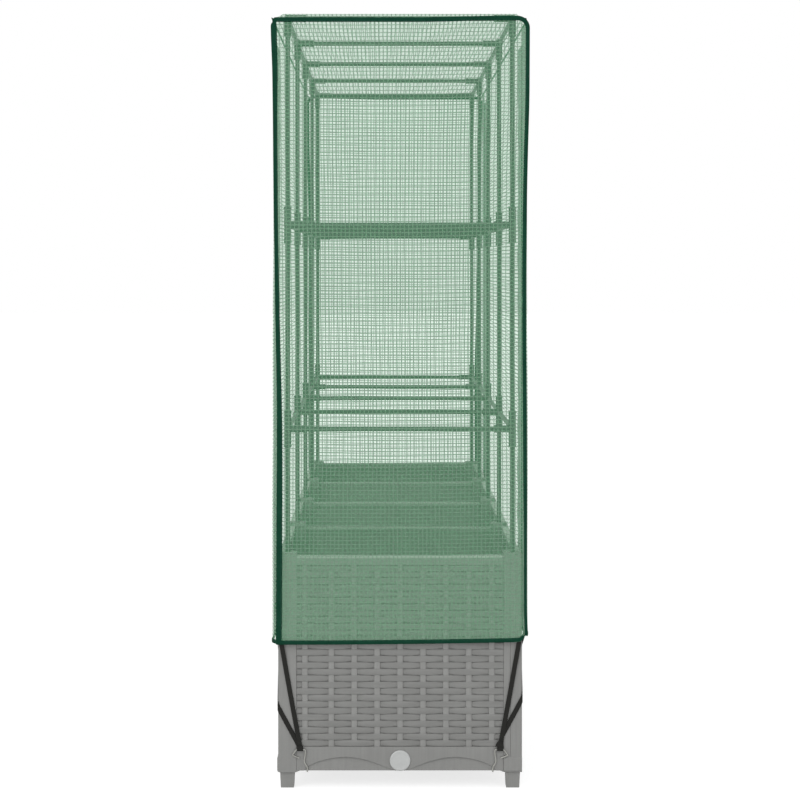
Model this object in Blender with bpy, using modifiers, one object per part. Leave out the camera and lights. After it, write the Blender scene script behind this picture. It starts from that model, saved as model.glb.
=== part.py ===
"""Covered raised planter: a row of wicker-look planter modules, a push-fit tube frame
plugged into their posts, and a zipped mesh cover tied down at the four corners."""
import math

import bmesh
import bpy
from mathutils import Matrix, Vector

for old in list(bpy.data.objects):
    bpy.data.objects.remove(old, do_unlink=True)

# Driving dimensions, in metres.
GAP = 0.0003              # clearance between pieces that touch
MODULES = 4
MODULE_LENGTH = 0.370     # post to post along the row
MODULE_WIDTH = 0.370      # post to post across the row
FOOT_HEIGHT = 0.026
FOOT_TOP = 0.024          # the square foot tapers down
FOOT_BOTTOM = 0.0215
POST = 0.030              # square post
POST_TOP = 0.386
POST_ROUND = 0.002        # rounding of the post's upright edges
BLOCK_TOP = 0.049         # the post flares below this height
BLOCK_FLARE = 0.0015
BLOCK_ROUND = 0.0035      # rounding of the block's outer lower edge
POST_LINE = 0.019         # moulded line, from the post's outer edge
POST_LINE_WIDTH = 0.0012
POST_LINE_DEPTH = 0.0008

PANEL_DEPTH = 0.012
PANEL_TOP = 0.381
RAIL_BOTTOM = 0.029
RAIL_TOP = 0.0680
TOP_RAIL = 0.015
FIELD_BACK = 0.0035       # the woven field lies this far behind the rails' faces
FIELD_WALL = 0.003
STAKE_WIDTH = 0.009
STAKE_RISE = 0.002
STAKE_PITCH = 0.0376
FIRST_BAY = 0.0057        # the bay beside the first stake is this much wider
TONGUE = 0.004
TONGUE_REACH = 0.006
ARCH_INNER = 0.008        # an arch starts this far from the panel's middle
ARCH_OUTER = 0.0117       # and ends this far from the panel's end
ARCH_CREST = 0.54         # share of its span where it is highest
ARCH_HEIGHT = 0.0222
ARCH_STEP = 0.0008        # depth of its recess at the rail's lower edge
ARCH_SLOPE = 0.10         # and it gets deeper by this much of the way up
SWEEP = 0.0065            # small fillet from the rail's lower edge to the post's block
SWEEP_DROP = 0.0025
LEDGE_REACH = 0.008
LEDGE_THICK = 0.003
LEDGE_END_CLEAR = 0.032   # the ledge stops short of the posts, where the hooks catch
DIVIDER_TOP = 0.377
DIVIDER_BEAD = 0.008

TRAY_THICK = 0.003
TRAY_CLEAR = 0.0005
TRAY_RIB = 0.002
TRAY_RIB_DROP = 0.006
PLUG_HEIGHT = 0.0455
PLUG_RADIUS = 0.017
PLUG_CAP = 0.0025
PLUG_STEM = 0.009
PLUG_SHORT = 0.001        # the stem ends this far inside the rail

TUBE = 0.004              # tube radius
FIT = 0.006               # connector radius
LOW_BAR = 0.588
MIDDLE_BAR = 0.924
TOP_BAR = 1.264
SLEEVE = 0.030            # half length of a connector's upright sleeve
ARM = 0.030               # connector arm, from the upright's axis
SOCKET = 0.018            # how deep a tube goes into a connector's arm
POST_SOCKET = 0.040
SIDES = 6

CLOTH = 0.001
BINDING = 0.0028          # thickness of a bound edge
BINDING_WIDTH = 0.0085
HEM_WIDTH = 0.006
SEAM_WIDTH = 0.003
STEP = 0.0006             # width of the step from cloth to bound edge
END_CLEAR = 0.0074        # from the end panel's face to the middle of the end cloth
SIDE_CLEAR = 0.0092       # from the post's outer face to the middle of the side cloth
DRAW_IN = 0.030           # beside its end seam the side cloth draws in over this length
SEAM_FLAT = 0.012         # and lies flat against the end cloth for this much of it
HEM = 0.240
HEM_TILT = 0.0044         # the front hem rises this much to the right
SEAM_DROP = 0.0083        # the end seams lie this far under the roof's highest cloth
CORNER_ROUND = 0.022
ZIP_INSET = 0.124         # from the end hoop to the zip
ZIP_BAND = 0.011
ZIP_GAP = 0.0012
HEADER = 0.029            # cloth above the door, down from the top bar
DOOR_HEM = 0.0215

STRAP = 0.007
STRAP_THICK = 0.0012
STRAP_CLEAR = 0.0004      # room left behind a strap, besides the gap
WIRE = 0.001              # hook wire radius

# Worked out from the sizes above.
HALF_X = MODULE_WIDTH / 2
HALF_Y = MODULES * MODULE_LENGTH / 2
POST_HALF = POST / 2
SIDE_FACE = HALF_X + POST_HALF
END_FACE = HALF_Y + POST_HALF
BARS = (LOW_BAR, MIDDLE_BAR, TOP_BAR)
ROOF = TOP_BAR + FIT + GAP + CLOTH / 2
SIDE_CLOTH = SIDE_FACE + SIDE_CLEAR
END_CLOTH = END_FACE + END_CLEAR
CLOTH_END = END_CLOTH - BINDING / 2 - GAP
END_SEAM = ROOF - SEAM_DROP + CLOTH
ROOF_EDGE = END_SEAM - CLOTH
SIDE_TOP = ROOF_EDGE - BINDING / 2 - 2 * GAP
ZIP_Y = HALF_Y - ZIP_INSET
DOOR_TOP = TOP_BAR - HEADER
TRAY_BOTTOM = RAIL_BOTTOM + LEDGE_THICK + GAP
SLOT_BOTTOM = BLOCK_TOP + GAP

parts = bpy.data.collections.new("covered_raised_planter")
cutters = bpy.data.collections.new("cutters")
bpy.context.scene.collection.children.link(parts)
bpy.context.scene.collection.children.link(cutters)


def finish(name, red, green, blue, roughness, alpha=1.0):
    """A Principled material in linear colour."""
    made = bpy.data.materials.new(name)
    made.use_nodes = True
    shader = made.node_tree.nodes["Principled BSDF"]
    shader.inputs["Base Color"].default_value = (red, green, blue, 1)
    shader.inputs["Roughness"].default_value = roughness
    shader.inputs["Alpha"].default_value = alpha
    return made


PLANTER_PLASTIC = finish("grey_polypropylene", 0.255, 0.255, 0.245, 0.55)
TRAY_PLASTIC = finish("tray_polypropylene", 0.22, 0.22, 0.21, 0.6)
PLUG_PLASTIC = finish("pale_plug", 0.456, 0.473, 0.468, 0.45)
TUBE_FINISH = finish("grey_coated_tube", 0.133, 0.125, 0.125, 0.4)
MESH_FILM = finish("green_mesh_film", 0.2, 0.45, 0.28, 0.5, 0.5)
BOUND_FILM = finish("green_door_hem", 0.008, 0.067, 0.037, 0.6)
ZIP_METAL = finish("zip_slider_green", 0.02, 0.09, 0.05, 0.35)
ELASTIC = finish("black_elastic", 0.02, 0.02, 0.018, 0.8)
HOOK_WIRE = finish("zinc_wire", 0.6, 0.6, 0.58, 0.35)


def block(bm, low, high):
    """Adds a box between two corners."""
    size = [h - l for l, h in zip(low, high)]
    middle = [(h + l) / 2 for l, h in zip(low, high)]
    placed = Matrix.Translation(middle) @ Matrix.Diagonal((*size, 1))
    return bmesh.ops.create_cube(bm, size=1, matrix=placed)["verts"]


def prism(bm, outline, front, backs):
    """Adds a flat body from an outline in X and Z, between a front and each point's own back in Y."""
    near = [bm.verts.new((x, front, z)) for x, z in outline]
    far = [bm.verts.new((x, back, z)) for (x, z), back in zip(outline, backs)]
    faces = [bm.faces.new(near), bm.faces.new(far[::-1])]
    for number in range(len(outline)):
        following = (number + 1) % len(outline)
        faces.append(bm.faces.new((near[number], far[number], far[following], near[following])))
    bmesh.ops.recalc_face_normals(bm, faces=faces)


def rod(bm, start, end, radius, sides=SIDES):
    """Adds a round bar between two points."""
    start, end = Vector(start), Vector(end)
    along = end - start
    turned = along.to_track_quat("Z", "Y").to_matrix().to_4x4()
    placed = Matrix.Translation((start + end) / 2) @ turned @ Matrix.Rotation(math.pi / sides, 4, "Z")
    bmesh.ops.create_cone(bm, cap_ends=True, segments=sides, radius1=radius, radius2=radius,
                          depth=along.length, matrix=placed)


def solid(name, bm, home):
    """Turns a bmesh into an object of a collection."""
    mesh = bpy.data.meshes.new(name)
    bm.to_mesh(mesh)
    bm.free()
    made = bpy.data.objects.new(name, mesh)
    home.objects.link(made)
    return made


def tool(name, fill):
    """A hidden shape for a Boolean; fill adds its solids to a bmesh."""
    bm = bmesh.new()
    fill(bm)
    made = solid(name, bm, cutters)
    made.hide_render = True
    made.display_type = "WIRE"
    return made


def carve(body, operation, other):
    """Adds one Boolean to a body."""
    step = body.modifiers.new(f"{operation.lower()}_{other.name}", "BOOLEAN")
    step.operation = operation
    step.solver = "EXACT"
    step.object = other


def shape(name, fill, steps=(), round_edges=0.0):
    """Evaluates one body and its Booleans to a mesh that several pieces can share."""
    bm = bmesh.new()
    fill(bm)
    body = solid(name, bm, cutters)
    if round_edges:
        edge = body.modifiers.new("rounding", "BEVEL")
        edge.width = round_edges
        edge.segments = 1
        edge.limit_method = "ANGLE"
    for operation, other in steps:
        carve(body, operation, other)
    seen = body.evaluated_get(bpy.context.evaluated_depsgraph_get())
    mesh = bpy.data.meshes.new_from_object(seen)
    mesh.name = name
    bpy.data.objects.remove(body, do_unlink=True)
    return mesh


def piece(name, mesh, coat, location=(0, 0, 0), turn=0.0, smooth=False):
    """Places one named piece."""
    made = bpy.data.objects.new(name, mesh)
    parts.objects.link(made)
    made.location = location
    made.rotation_euler = (0, 0, turn)
    if not mesh.materials:
        mesh.materials.append(coat)
    if smooth:
        mesh.shade_smooth()
        mesh.set_sharp_from_angle(angle=math.radians(40))
    return made


# Posts. Local frame: origin on the floor under the post's axis, outside faces at -X and -Y.
def post_body(is_corner):
    """The square shaft, rounded round its top and, on a corner post, down its outer edge."""
    def fill(bm):
        block(bm, (-POST_HALF, -POST_HALF, RAIL_BOTTOM), (POST_HALF, POST_HALF, POST_TOP))
        rounded = []
        for edge in bm.edges:
            ends = [vertex.co for vertex in edge.verts]
            at_top = min(ends[0].z, ends[1].z) > RAIL_TOP
            outer = max(ends[0].x, ends[1].x, ends[0].y, ends[1].y) < 0
            if at_top or (outer and is_corner):
                rounded.append(edge)
        bmesh.ops.bevel(bm, geom=rounded, offset=POST_ROUND, segments=1, affect="EDGES")
    return fill


def post_foot(bm):
    """The tapered foot, its top sunk into the flared block."""
    top, bottom = FOOT_TOP / 2, FOOT_BOTTOM / 2
    for corner in block(bm, (-top, -top, 0), (top, top, FOOT_HEIGHT + POST_ROUND)):
        if corner.co.z < FOOT_HEIGHT / 2:
            corner.co.x *= bottom / top
            corner.co.y *= bottom / top


def post_block(bm):
    """The block over the foot, proud on the -X face only."""
    outer = -POST_HALF - BLOCK_FLARE
    round_off = BLOCK_ROUND * 0.3
    outline = [(POST_HALF, FOOT_HEIGHT), (POST_HALF, BLOCK_TOP), (-POST_HALF, BLOCK_TOP + BLOCK_FLARE),
               (outer, BLOCK_TOP), (outer, FOOT_HEIGHT + BLOCK_ROUND),
               (outer + round_off, FOOT_HEIGHT + round_off), (outer + BLOCK_ROUND, FOOT_HEIGHT)]
    prism(bm, outline, -POST_HALF, [POST_HALF] * len(outline))


def post_slots(places):
    """Grooves for the tongues: each place is the direction of a panel and its sideways shift."""
    def fill(bm):
        reach = TONGUE_REACH + GAP
        half = TONGUE / 2 + GAP
        for (dx, dy), shift in places:
            near, far = POST_HALF - reach, POST_HALF + reach
            if dx:
                low, high = (near, shift - half), (far, shift + half)
            elif dy > 0:
                low, high = (shift - half, near), (shift + half, far)
            else:
                low, high = (shift - half, -far), (shift + half, -near)
            block(bm, (*low, SLOT_BOTTOM), (*high, POST_TOP + reach))
    return fill


def post_line(bm):
    """A shallow moulded line down the -X face."""
    across = POST_LINE - POST_HALF
    half = POST_LINE_WIDTH / 2
    block(bm, (-POST_HALF - BLOCK_FLARE, across - half, BLOCK_TOP + POST_ROUND),
          (-POST_HALF + POST_LINE_DEPTH, across + half, POST_TOP - POST_ROUND * 2))


def post_socket(bm):
    rod(bm, (0, 0, POST_TOP - POST_SOCKET), (0, 0, POST_TOP + POST_ROUND), TUBE + GAP, SIDES * 2)


panel_middle = PANEL_DEPTH / 2 - POST_HALF
block_tool = tool("post_block", post_block)
foot_tool = tool("foot", post_foot)
socket_tool = tool("post_socket", post_socket)
corner_post = shape("corner_post", post_body(True), [
    ("UNION", block_tool),
    ("UNION", foot_tool),
    ("DIFFERENCE", tool("corner_slots", post_slots([((1, 0), panel_middle), ((0, 1), panel_middle)]))),
    ("DIFFERENCE", tool("post_line", post_line)),
    ("DIFFERENCE", socket_tool)])
middle_post = shape("middle_post", post_body(False), [
    ("UNION", block_tool),
    ("UNION", foot_tool),
    ("DIFFERENCE", tool("middle_slots", post_slots(
        [((0, 1), panel_middle), ((0, -1), panel_middle), ((1, 0), 0.0)]))),
    ("DIFFERENCE", socket_tool)])


def hoop_y(number):
    """Where a hoop stands; number 0 is the front one."""
    return number * MODULE_LENGTH - HALF_Y


CORNER_TURNS = {("left", 0): 0, ("right", 0): 90, ("right", MODULES): 180, ("left", MODULES): 270}
for side, sign in (("left", -1), ("right", 1)):
    for number in range(MODULES + 1):
        corner = (side, number) in CORNER_TURNS
        mesh = corner_post if corner else middle_post
        turn = CORNER_TURNS[side, number] if corner else (0 if sign < 0 else 180)
        piece(f"post_{side}_{number + 1}", mesh, PLANTER_PLASTIC,
              (sign * HALF_X, hoop_y(number), 0), math.radians(turn))


# Outer panels. Local frame: origin under the middle of the outer face, +Y towards the inside.
def panel_rails(width):
    def fill(bm):
        half = width / 2
        block(bm, (-half, 0, RAIL_BOTTOM), (half, PANEL_DEPTH, RAIL_TOP))
        block(bm, (-half, 0, PANEL_TOP - TOP_RAIL), (half, PANEL_DEPTH, PANEL_TOP))
    return fill


def panel_field(width):
    def fill(bm):
        half = width / 2
        block(bm, (-half, FIELD_BACK, RAIL_TOP - TONGUE), (half, FIELD_BACK + FIELD_WALL, PANEL_TOP - TONGUE))
    return fill


def stake_places(width):
    """Stakes stand either side of one in the middle."""
    each_side = int((width / 2 - STAKE_WIDTH) / STAKE_PITCH)
    places = [number * STAKE_PITCH for number in range(-each_side, each_side + 1)]
    places[0] -= FIRST_BAY
    return places


def panel_stakes(width):
    def fill(bm):
        front = FIELD_BACK - STAKE_RISE
        for across in stake_places(width):
            block(bm, (across - STAKE_WIDTH / 2, front, RAIL_TOP - TONGUE),
                  (across + STAKE_WIDTH / 2, FIELD_BACK + FIELD_WALL / 2, PANEL_TOP - TONGUE))
    return fill


def panel_edges(width):
    """Stiles behind the field with the tongues that slide down the posts' grooves."""
    def fill(bm):
        half = width / 2
        middle = PANEL_DEPTH / 2
        for sign in (-1, 1):
            inner, tip = sign * (half - TONGUE_REACH), sign * (half + TONGUE_REACH)
            low, high = min(inner, tip), max(inner, tip)
            block(bm, (low, middle - TONGUE / 2, SLOT_BOTTOM + GAP),
                  (high, middle + TONGUE / 2, PANEL_TOP - TONGUE))
    return fill


def panel_ledge(width):
    def fill(bm):
        half = width / 2 - LEDGE_END_CLEAR
        block(bm, (-half, PANEL_DEPTH / 2, RAIL_BOTTOM), (half, PANEL_DEPTH + LEDGE_REACH,
                                                         RAIL_BOTTOM + LEDGE_THICK))
    return fill


def panel_sweeps(width):
    """Fillets under the bottom rail's ends, down towards the posts' blocks."""
    def fill(bm):
        half = width / 2
        for sign in (-1, 1):
            outline = [(sign * half, RAIL_BOTTOM - SWEEP_DROP), (sign * half, RAIL_BOTTOM + GAP),
                       (sign * (half - SWEEP), RAIL_BOTTOM + GAP)]
            prism(bm, outline, 0, [PANEL_DEPTH / 2] * len(outline))
    return fill


def arch_line(width):
    """An arch's line from the disc to the post: it swings out flat and comes down steeper."""
    span = width / 2 - ARCH_OUTER - ARCH_INNER
    rising, falling = span * ARCH_CREST, span * (1 - ARCH_CREST)
    shares = [step / 8 for step in range(9)]
    line = [(ARCH_INNER + rising * share, ARCH_HEIGHT * (1 - (1 - share) ** 1.9) ** 1.25) for share in shares]
    line += [(ARCH_INNER + rising + falling * share, ARCH_HEIGHT * math.cos(share * math.pi / 2) ** 0.62)
             for share in shares[1:]]
    return [(ARCH_INNER, -POST_ROUND)] + line + [(ARCH_INNER + span, -POST_ROUND)]


def panel_arches(width):
    """Two arches sunk into the bottom rail, deepest under the crest."""
    def fill(bm):
        line = arch_line(width)
        backs = [ARCH_STEP + rise * ARCH_SLOPE for _, rise in line]
        for sign in (-1, 1):
            outline = [(sign * across, RAIL_BOTTOM + rise) for across, rise in line]
            prism(bm, outline, -ARCH_STEP, backs)
    return fill


def plug_hole(bm):
    rod(bm, (0, -PLUG_CAP, PLUG_HEIGHT), (0, PANEL_DEPTH * 2, PLUG_HEIGHT), PLUG_STEM + GAP, 16)


def blank_disc(bm):
    """The closed disc that stands in the plug's place on the long sides."""
    rod(bm, (0, -PLUG_CAP / 2, PLUG_HEIGHT), (0, PANEL_DEPTH / 2, PLUG_HEIGHT), PLUG_RADIUS, 14)


hole_tool = tool("plug_hole", plug_hole)
disc_tool = tool("blank_disc", blank_disc)


def panel_shape(name, module, last_step):
    width = module - POST - 2 * GAP
    return shape(name, panel_rails(width), [
        ("UNION", tool(f"{name}_field", panel_field(width))),
        ("UNION", tool(f"{name}_stakes", panel_stakes(width))),
        ("UNION", tool(f"{name}_edges", panel_edges(width))),
        ("UNION", tool(f"{name}_ledge", panel_ledge(width))),
        ("UNION", tool(f"{name}_sweeps", panel_sweeps(width))),
        ("DIFFERENCE", tool(f"{name}_arches", panel_arches(width))),
        last_step])


end_panel = panel_shape("end_panel", MODULE_WIDTH, ("DIFFERENCE", hole_tool))
side_panel = panel_shape("side_panel", MODULE_LENGTH, ("UNION", disc_tool))
piece("end_panel_front", end_panel, PLANTER_PLASTIC, (0, -END_FACE, 0))
piece("end_panel_rear", end_panel, PLANTER_PLASTIC, (0, END_FACE, 0), math.pi)
for side, sign in (("left", -1), ("right", 1)):
    for number in range(MODULES):
        piece(f"side_panel_{side}_{number + 1}", side_panel, PLANTER_PLASTIC,
              (sign * SIDE_FACE, hoop_y(number + 0.5), 0), math.copysign(math.pi / 2, sign))


# Dividers slide into the middle posts, and carry the trays on a ledge at each side.
def divider_plate(bm):
    half = HALF_X - POST_HALF - GAP
    block(bm, (-half, -TONGUE / 2, RAIL_BOTTOM), (half, TONGUE / 2, DIVIDER_TOP))


def divider_trim(bm):
    half = HALF_X - POST_HALF - GAP
    bead = DIVIDER_BEAD / 2
    block(bm, (-half, -bead, DIVIDER_TOP - DIVIDER_BEAD), (half, bead, DIVIDER_TOP))
    reach = TONGUE / 2 + LEDGE_REACH
    block(bm, (-half, -reach, RAIL_BOTTOM), (half, reach, RAIL_BOTTOM + LEDGE_THICK))


def divider_tongues(bm):
    tip = HALF_X - POST_HALF - GAP + TONGUE_REACH
    block(bm, (-tip, -TONGUE / 2, SLOT_BOTTOM + GAP), (tip, TONGUE / 2, DIVIDER_TOP - DIVIDER_BEAD * 2))


divider = shape("divider", divider_plate, [
    ("UNION", tool("divider_trim", divider_trim)),
    ("UNION", tool("divider_tongues", divider_tongues))])
for number in range(1, MODULES):
    piece(f"divider_{number}", divider, PLANTER_PLASTIC, (0, hoop_y(number), 0))


# Floor trays lie on the ledges, cut in at the corners round the posts.
def tray_shape(name, front_is_end, rear_is_end):
    """One tray in the frame of its module's middle."""
    wide = SIDE_FACE - PANEL_DEPTH - TRAY_CLEAR
    narrow = HALF_X - POST_HALF - TRAY_CLEAR
    short = MODULE_LENGTH / 2 - POST_HALF - TRAY_CLEAR
    to_end = MODULE_LENGTH / 2 + POST_HALF - PANEL_DEPTH - TRAY_CLEAR
    to_divider = MODULE_LENGTH / 2 - TONGUE / 2 - TRAY_CLEAR
    front = to_end if front_is_end else to_divider
    rear = to_end if rear_is_end else to_divider
    top = TRAY_BOTTOM + TRAY_THICK

    def middle(bm):
        block(bm, (-narrow, -front, TRAY_BOTTOM), (narrow, rear, top))

    def wings(bm):
        block(bm, (-wide, -short, TRAY_BOTTOM), (wide, short, top))

    def ribs(bm):
        inner = short - LEDGE_REACH * 2
        for number in (-1, 0, 1):
            across = number * narrow / 2
            block(bm, (across - TRAY_RIB / 2, -inner, TRAY_BOTTOM - TRAY_RIB_DROP),
                  (across + TRAY_RIB / 2, inner, TRAY_BOTTOM + TRAY_THICK / 2))
    return shape(name, middle, [("UNION", tool(f"{name}_wings", wings)),
                                ("UNION", tool(f"{name}_ribs", ribs))])


for number in range(MODULES):
    mesh = tray_shape(f"floor_tray_{number + 1}", number == 0, number == MODULES - 1)
    piece(f"floor_tray_{number + 1}", mesh, TRAY_PLASTIC, (0, hoop_y(number + 0.5), 0))


def plug_shape():
    """A domed cap on a stem, turned about local Z with the cap up."""
    stem_end = -(PANEL_DEPTH + GAP - PLUG_SHORT)
    profile = [(0, PLUG_CAP), (PLUG_RADIUS * 0.55, PLUG_CAP * 0.95), (PLUG_RADIUS * 0.88, PLUG_CAP * 0.8),
               (PLUG_RADIUS, PLUG_CAP * 0.4), (PLUG_RADIUS, 0), (PLUG_STEM, 0), (PLUG_STEM, stem_end + 0.001),
               (PLUG_STEM - 0.001, stem_end), (0, stem_end)]
    bm = bmesh.new()
    corners = [bm.verts.new((radius, 0, height)) for radius, height in profile]
    for first, second in zip(corners, corners[1:]):
        bm.edges.new((first, second))
    outline = solid("plug_outline", bm, cutters)
    turn = outline.modifiers.new("turned", "SCREW")
    turn.steps = turn.render_steps = 16
    turn.use_merge_vertices = True
    turn.merge_threshold = 0.0001
    seen = outline.evaluated_get(bpy.context.evaluated_depsgraph_get())
    mesh = bpy.data.meshes.new_from_object(seen)
    bpy.data.objects.remove(outline, do_unlink=True)
    return mesh


plug = plug_shape()
for name, sign in (("drain_plug_front", -1), ("drain_plug_rear", 1)):
    made = piece(name, plug, PLUG_PLASTIC, (0, sign * (END_FACE + GAP), PLUG_HEIGHT), smooth=True)
    made.rotation_euler = (math.pi / 2, 0, 0 if sign < 0 else math.pi)


# Frame. Each upright stands in its post's socket with its connectors and the rails running back;
# the left ones also carry the crossbars. Local frame: the upright's axis, +X inwards.
def frame_shape(name, crossbars, front_arm, rear_rails):
    """One upright with what its connectors carry."""
    inward_end = MODULE_WIDTH - ARM + SOCKET - GAP
    back_end = MODULE_LENGTH - ARM + SOCKET - GAP

    def upright(bm):
        rod(bm, (0, 0, POST_TOP - POST_SOCKET + GAP), (0, 0, TOP_BAR), TUBE)

    def sleeves(bm):
        for level in (LOW_BAR, MIDDLE_BAR):
            rod(bm, (0, 0, level - SLEEVE), (0, 0, level + SLEEVE), FIT)
        rod(bm, (0, 0, TOP_BAR - SLEEVE), (0, 0, TOP_BAR + FIT), FIT)

    def across(bm):
        for level in BARS:
            rod(bm, (-FIT * 0.75, 0, level), (ARM, 0, level), FIT * 0.98)

    def along(bm):
        front = -ARM if front_arm else -FIT * 0.75
        back = ARM if rear_rails else FIT * 0.75
        for level in BARS:
            rod(bm, (0, front, level), (0, back, level), FIT * 0.96)

    def bars(bm):
        for level in BARS:
            rod(bm, (ARM - SOCKET, 0, level), (inward_end, 0, level), TUBE)

    def rails(bm):
        for level in BARS:
            rod(bm, (0, ARM - SOCKET, level), (0, back_end, level), TUBE)

    def sockets(bm):
        for level in BARS:
            if not crossbars:
                rod(bm, (ARM - SOCKET, 0, level), (ARM + SOCKET, 0, level), TUBE + GAP)
            if front_arm:
                rod(bm, (0, SOCKET - ARM, level), (0, -ARM - SOCKET, level), TUBE + GAP)

    steps = [("UNION", tool(f"{name}_sleeves", sleeves)), ("UNION", tool(f"{name}_across", across)),
             ("UNION", tool(f"{name}_along", along))]
    if crossbars:
        steps.append(("UNION", tool(f"{name}_bars", bars)))
    if rear_rails:
        steps.append(("UNION", tool(f"{name}_rails", rails)))
    if front_arm or not crossbars:
        steps.append(("DIFFERENCE", tool(f"{name}_sockets", sockets)))
    return shape(name, upright, steps)


def mirrored(mesh, name):
    """The same frame piece for the other side, so that +X still points inwards."""
    bm = bmesh.new()
    bm.from_mesh(mesh)
    for vertex in bm.verts:
        vertex.co.x = -vertex.co.x
    bmesh.ops.reverse_faces(bm, faces=bm.faces[:])
    made = bpy.data.meshes.new(name)
    bm.to_mesh(made)
    bm.free()
    return made


for side, sign in (("left", -1), ("right", 1)):
    kinds = {}
    for number in range(MODULES + 1):
        key = (number > 0, number < MODULES)
        if key not in kinds:
            kinds[key] = frame_shape(f"frame_{side}_kind_{len(kinds)}", sign < 0, *key)
            if sign > 0:
                kinds[key] = mirrored(kinds[key], f"frame_right_{len(kinds)}")
        piece(f"frame_upright_{side}_{number + 1}", kinds[key], TUBE_FINISH,
              (sign * HALF_X, hoop_y(number), 0), smooth=True)


# Cover. Every cloth piece is a grid laid by a rule, thicker along its bound edges.
def lines(stops, longest):
    """Grid lines through the stops, with none further apart than the longest step."""
    found = [stops[0]]
    for start, end in zip(stops, stops[1:]):
        count = max(1, math.ceil((end - start) / longest - 1e-6))
        found += [start + (end - start) * number / count for number in range(1, count + 1)]
    return found


def cloth(name, across, up, place, bound, keep=None):
    """A sheet through place(a, b); bound(a, b) marks thick edges and keep(a, b) the cells that stay."""
    bm = bmesh.new()
    thick = bm.verts.layers.deform.verify()
    grid = []
    for a in across:
        column = []
        for b in up:
            vertex = bm.verts.new(place(a, b))
            vertex[thick][0] = 1.0 if bound(a, b) else 0.0
            column.append(vertex)
        grid.append(column)
    for i in range(len(across) - 1):
        for j in range(len(up) - 1):
            middle = ((across[i] + across[i + 1]) / 2, (up[j] + up[j + 1]) / 2)
            if keep is None or keep(*middle):
                bm.faces.new((grid[i][j], grid[i + 1][j], grid[i + 1][j + 1], grid[i][j + 1]))
    loose = [vertex for vertex in bm.verts if not vertex.link_faces]
    bmesh.ops.delete(bm, geom=loose, context="VERTS")
    sheet = solid(name, bm, cutters)
    sheet.vertex_groups.new(name="bound")
    skin = sheet.modifiers.new("thickness", "SOLIDIFY")
    skin.thickness = BINDING
    skin.offset = 0
    skin.vertex_group = "bound"
    skin.thickness_vertex_group = CLOTH / BINDING
    seen = sheet.evaluated_get(bpy.context.evaluated_depsgraph_get())
    mesh = bpy.data.meshes.new_from_object(seen)
    bpy.data.objects.remove(sheet, do_unlink=True)
    return mesh


def ease(value):
    """Smooth step from 0 to 1."""
    value = min(max(value, 0.0), 1.0)
    return value * value * (3 - 2 * value)


# Outer edges of the end cloth at the hem, half way and at the top, as the bound edges hang.
EDGE_LEFT = (SIDE_FACE + 0.0040, SIDE_FACE + 0.0048, SIDE_FACE + 0.0119)
EDGE_RIGHT = (SIDE_FACE + 0.0070, SIDE_FACE + 0.0066, SIDE_FACE + 0.0124)


def edge_at(edge, share):
    """Half width at a share of the height, through three given widths."""
    low, middle, high = edge
    if share < 0.5:
        return low + (middle - low) * share * 2
    return middle + (high - middle) * (share - 0.5) * 2


def end_place(a, b):
    """a runs 0 to 1 from left to right and b up, in the plane of the front end."""
    x = -edge_at(EDGE_LEFT, b) * (1 - a) + edge_at(EDGE_RIGHT, b) * a
    right = edge_at(EDGE_RIGHT, 1)
    inside = right - CORNER_ROUND
    corner = max(0.0, x - inside)
    fall = CORNER_ROUND - math.sqrt(max(0.0, CORNER_ROUND ** 2 - min(corner, CORNER_ROUND) ** 2))
    bottom = HEM - HEM_WIDTH / 2 + HEM_TILT * a
    top = END_SEAM - fall * ease((b - 0.9) / 0.1)
    flat = math.sin(math.pi * a) * math.sin(math.pi * b)
    billow = 0.0016 * flat * math.sin(2.3 * math.pi * a + 3.1 * b) * math.cos(5.2 * math.pi * b)
    return x, billow, bottom + (top - bottom) * b


end_width = EDGE_LEFT[1] + EDGE_RIGHT[1]
end_height = END_SEAM - HEM
side_share = BINDING_WIDTH / end_width
top_share = BINDING_WIDTH / end_height
hem_share = HEM_WIDTH / end_height
step_share = STEP / end_width
end_across = lines([0, side_share, side_share + step_share, 0.9, 1 - side_share - step_share,
                    1 - side_share, 1], 0.21)
end_up = lines([0, hem_share, hem_share + step_share / 2, 0.5, 0.93, 1 - top_share - step_share / 2,
                1 - top_share, 1], 0.15)
end_cloth = cloth("end_cloth", end_across, end_up, end_place,
                  lambda a, b: (min(a, 1 - a) < side_share + 1e-6 or b < hem_share + 1e-6
                                or b > 1 - top_share - 1e-6))
piece("cover_front", end_cloth, MESH_FILM, (0, -END_CLOTH, 0), smooth=True)
piece("cover_rear", end_cloth, MESH_FILM, (0, END_CLOTH, 0), math.pi, smooth=True)


def edge_of(sign, y, share):
    """The end cloth's outer edge beside a point of a long side."""
    front_is_left = (sign < 0) == (y < 0)
    return edge_at(EDGE_LEFT if front_is_left else EDGE_RIGHT, share)


def side_place(sign):
    """The long sides hang straight, draw in to the end cloths and stay flat beside the zips."""
    def place(y, z):
        share = (z - HEM) / (SIDE_TOP - HEM)
        end = ease((abs(y) - CLOTH_END + DRAW_IN) / (DRAW_IN - SEAM_FLAT))
        zip_free = ease((abs(abs(y) - ZIP_Y) - ZIP_BAND) / 0.05)
        swell = 0.0012 * math.sin(math.pi * min(max(share, 0), 1)) * math.sin(17 * y + 5 * z) * zip_free
        edge = min(SIDE_CLOTH, edge_of(sign, y, share) - BINDING / 2 - CLOTH / 4)
        edge = max(edge, SIDE_FACE + BINDING / 2 + GAP)
        return sign * (SIDE_CLOTH + swell * (1 - end) + (edge - SIDE_CLOTH) * end), y, z
    return place


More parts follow.
